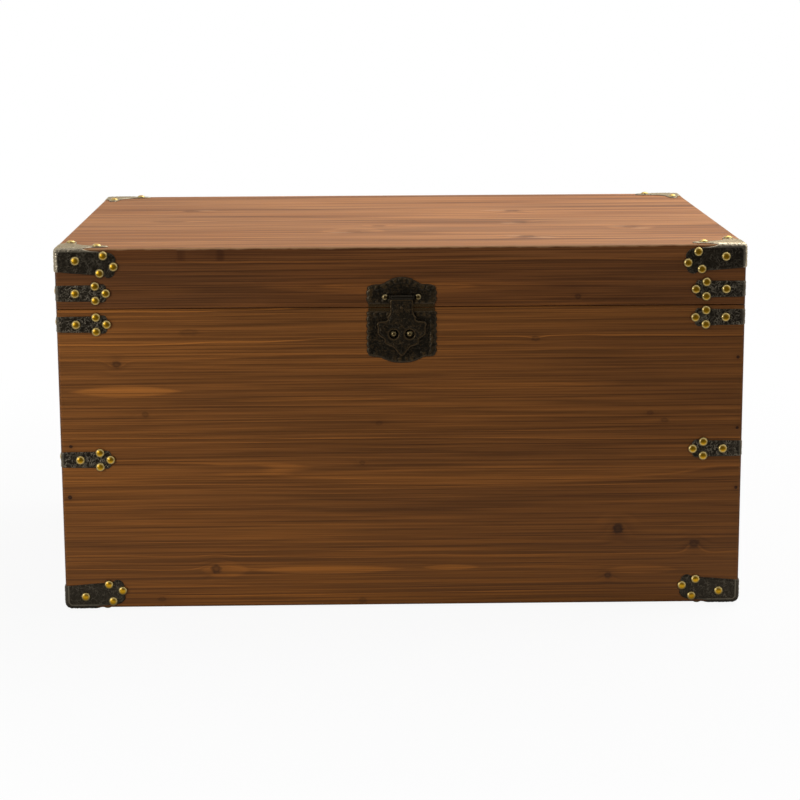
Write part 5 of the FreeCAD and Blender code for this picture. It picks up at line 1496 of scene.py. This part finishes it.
# Radius of a stud's collar and head, and of the neck that the arm turns on, in millimetres.
STUD_RADIUS, NECK_RADIUS = 6.0, 3.0
STUD_SIDES = 28
stay_steel = metal_finish("stay_steel", (150, 148, 142), (196, 194, 188), (120, 118, 112), 1.0, 0.34, 0.1)
eased_copy("stay_arm", "stay", stay_steel, STAY_EASE)
stay_low, stay_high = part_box("stay_arm")
for stud_node, body in (("stay_pivot", "lid"), ("stay_stud", "chest")):
    stud_low, stud_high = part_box(stud_node)
    stud_middle = (stud_low + stud_high) / 2
    collar = (stud_high.x - stay_high.x - STAY_PLAY) / MM
    head_start = (stud_high.x - stay_low.x + STAY_PLAY) / MM
    head_end = (stud_high.x - stud_low.x) / MM
    profile = [(0, 0), (STUD_RADIUS, 0), (STUD_RADIUS, collar), (NECK_RADIUS, collar),
               (NECK_RADIUS, head_start), (STUD_RADIUS, head_start), (STUD_RADIUS, head_start + 0.6),
               (5.2, head_end - 0.3), (3.4, head_end), (0, head_end)]
    stud = turned(f"{stud_node}_turned", [(radius * MM, distance * MM) for radius, distance in profile],
                  (stud_high.x, stud_middle.y, stud_middle.z), (-1, 0, 0), STUD_SIDES)
    stud.set_sharp_from_angle(angle=CREASE)
    new_piece(stud, body, stud_node, stay_steel)

# Floor and light: a pale studio floor that keeps the chest's shadow and shows white to the camera, a white
# room, a large soft light from above and behind, and weak fill from the front and the right.
FLOOR_HALF = 60.0
floor_mesh = bpy.data.meshes.new("studio_floor")
floor_mesh.from_pydata([(-FLOOR_HALF, -FLOOR_HALF, 0), (FLOOR_HALF, -FLOOR_HALF, 0),
                        (FLOOR_HALF, FLOOR_HALF, 0), (-FLOOR_HALF, FLOOR_HALF, 0)], [], [(0, 1, 2, 3)])
floor = bpy.data.objects.new("studio_floor", floor_mesh)
bpy.context.scene.collection.objects.link(floor)
floor_finish, tree = new_finish("studio_floor")
path = fit(tree, "ShaderNodeLightPath").outputs
seen_ray = reckon("MAXIMUM", path["Is Camera Ray"],
                  reckon("MAXIMUM", path["Is Glossy Ray"], path["Is Transmission Ray"]))
spot = fit(tree, "ShaderNodeTexCoord").outputs["Object"]
out_front = split(spot)[1]
shadow_end = between(steer("LENGTH", spot, result="Value"), 0.6, 1.4, 0.93, 1.0)
table = between(out_front, -0.8, -0.45, 0.12, 0.9)
# Seen in the metal, the floor is bright near the chest and dim farther in front; below and beside the chest
# it is made dark as a painted shadow.
beside = split(steer("SUBTRACT", steer("ABSOLUTE", spot), (cad_high.x, cad_high.y, 0.0)))
floor_shadow_in_gloss = between(reckon("MAXIMUM", beside[0], beside[1]), -0.03, 0.06, 0.05, 1.0)
table = reckon("MAXIMUM", path["Is Camera Ray"], reckon("MULTIPLY", table, floor_shadow_in_gloss))
matte = fit(tree, "ShaderNodeBsdfDiffuse", {"Color": (0.8, 0.8, 0.8, 1.0)})
glow = fit(tree, "ShaderNodeEmission", {"Color": (1.0, 1.0, 1.0, 1.0), "Strength": table})
floor_mix = fit(tree, "ShaderNodeMixShader", {0: reckon("MULTIPLY", seen_ray, shadow_end),
                                              1: matte.outputs[0], 2: glow.outputs[0]})
fit(tree, "ShaderNodeOutputMaterial", {"Surface": floor_mix.outputs[0]})
floor_mesh.materials.append(floor_finish)

scene = bpy.context.scene
scene.view_settings.view_transform = "Standard"
world = bpy.data.worlds.new("studio")
world.use_nodes = True
scene.world = world
tree = world.node_tree
tree.nodes.clear()
path = fit(tree, "ShaderNodeLightPath").outputs
heading = split(fit(tree, "ShaderNodeTexCoord").outputs["Generated"])
seen_front = between(heading[1], -0.84, -0.28, 0.12, 1.0)
mirrored = fit(tree, "ShaderNodeBackground", {"Color": (1.0, 1.0, 1.0, 1.0), "Strength": seen_front})
ambient = fit(tree, "ShaderNodeBackground", {"Color": (1.0, 1.0, 1.0, 1.0), "Strength": 0.3})
backdrop = fit(tree, "ShaderNodeBackground", {"Color": (1.0, 1.0, 1.0, 1.0), "Strength": 1.0})
glossy = reckon("MAXIMUM", path["Is Glossy Ray"], path["Is Transmission Ray"])
lit = fit(tree, "ShaderNodeMixShader", {0: glossy, 1: ambient.outputs[0], 2: mirrored.outputs[0]})
lit = fit(tree, "ShaderNodeMixShader", {0: path["Is Camera Ray"], 1: lit.outputs[0], 2: backdrop.outputs[0]})
fit(tree, "ShaderNodeOutputWorld", {"Surface": lit.outputs[0]})


def soft_light(name, place, aim, width, height, power):
    """A rectangular studio light that points at a place."""
    lamp = bpy.data.lights.new(name, "AREA")
    lamp.shape = "RECTANGLE"
    lamp.size = width
    lamp.size_y = height
    lamp.energy = power
    stand = bpy.data.objects.new(name, lamp)
    stand.location = place
    stand.rotation_euler = (Vector(aim) - Vector(place)).to_track_quat("-Z", "Y").to_euler()
    scene.collection.objects.link(stand)


soft_light("overhead_light", (1.2, 0.9, 2.4), (0.1, 0.0, 0.3), 2.6, 1.8, 55.0)
soft_light("left_light", (-1.5, -1.4, 0.7), (-0.3, -0.25, 0.25), 0.8, 0.8, 9.0)
soft_light("right_light", (2.6, 0.3, 1.4), (0.0, 0.0, 0.2), 1.2, 1.6, 12.0)

# Camera: it stands where the photograph was taken, a little left of the chest's middle and above its lid.
# Its place, its turn and its lens were fitted to the chest's edges and the tacks.
CAMERA_PLACE = Vector((-0.04829, -2.83617, 0.75686))
CAMERA_PITCH = math.radians(11.1754)
CAMERA_YAW = math.radians(1.0318)
CAMERA_ROLL = math.radians(-0.2815)
FOCAL_PIXELS = 2224.70
PICTURE_PIXELS = 800
SENSOR = 36.0
level = Vector((math.cos(CAMERA_YAW), -math.sin(CAMERA_YAW), 0.0))
ahead = Vector((math.sin(CAMERA_YAW), math.cos(CAMERA_YAW), 0.0))
forward = ahead * math.cos(CAMERA_PITCH) - UP * math.sin(CAMERA_PITCH)
upward = level.cross(forward)
right = level * math.cos(CAMERA_ROLL) + upward * math.sin(CAMERA_ROLL)
top = upward * math.cos(CAMERA_ROLL) - level * math.sin(CAMERA_ROLL)
lens = bpy.data.cameras.new("camera")
lens.sensor_width = SENSOR
lens.lens = FOCAL_PIXELS / PICTURE_PIXELS * SENSOR
camera = bpy.data.objects.new("camera", lens)
camera.matrix_world = Matrix((
    (right.x, top.x, -forward.x, CAMERA_PLACE.x),
    (right.y, top.y, -forward.y, CAMERA_PLACE.y),
    (right.z, top.z, -forward.z, CAMERA_PLACE.z),
    (0.0, 0.0, 0.0, 1.0)))
scene.collection.objects.link(camera)
scene.camera = camera
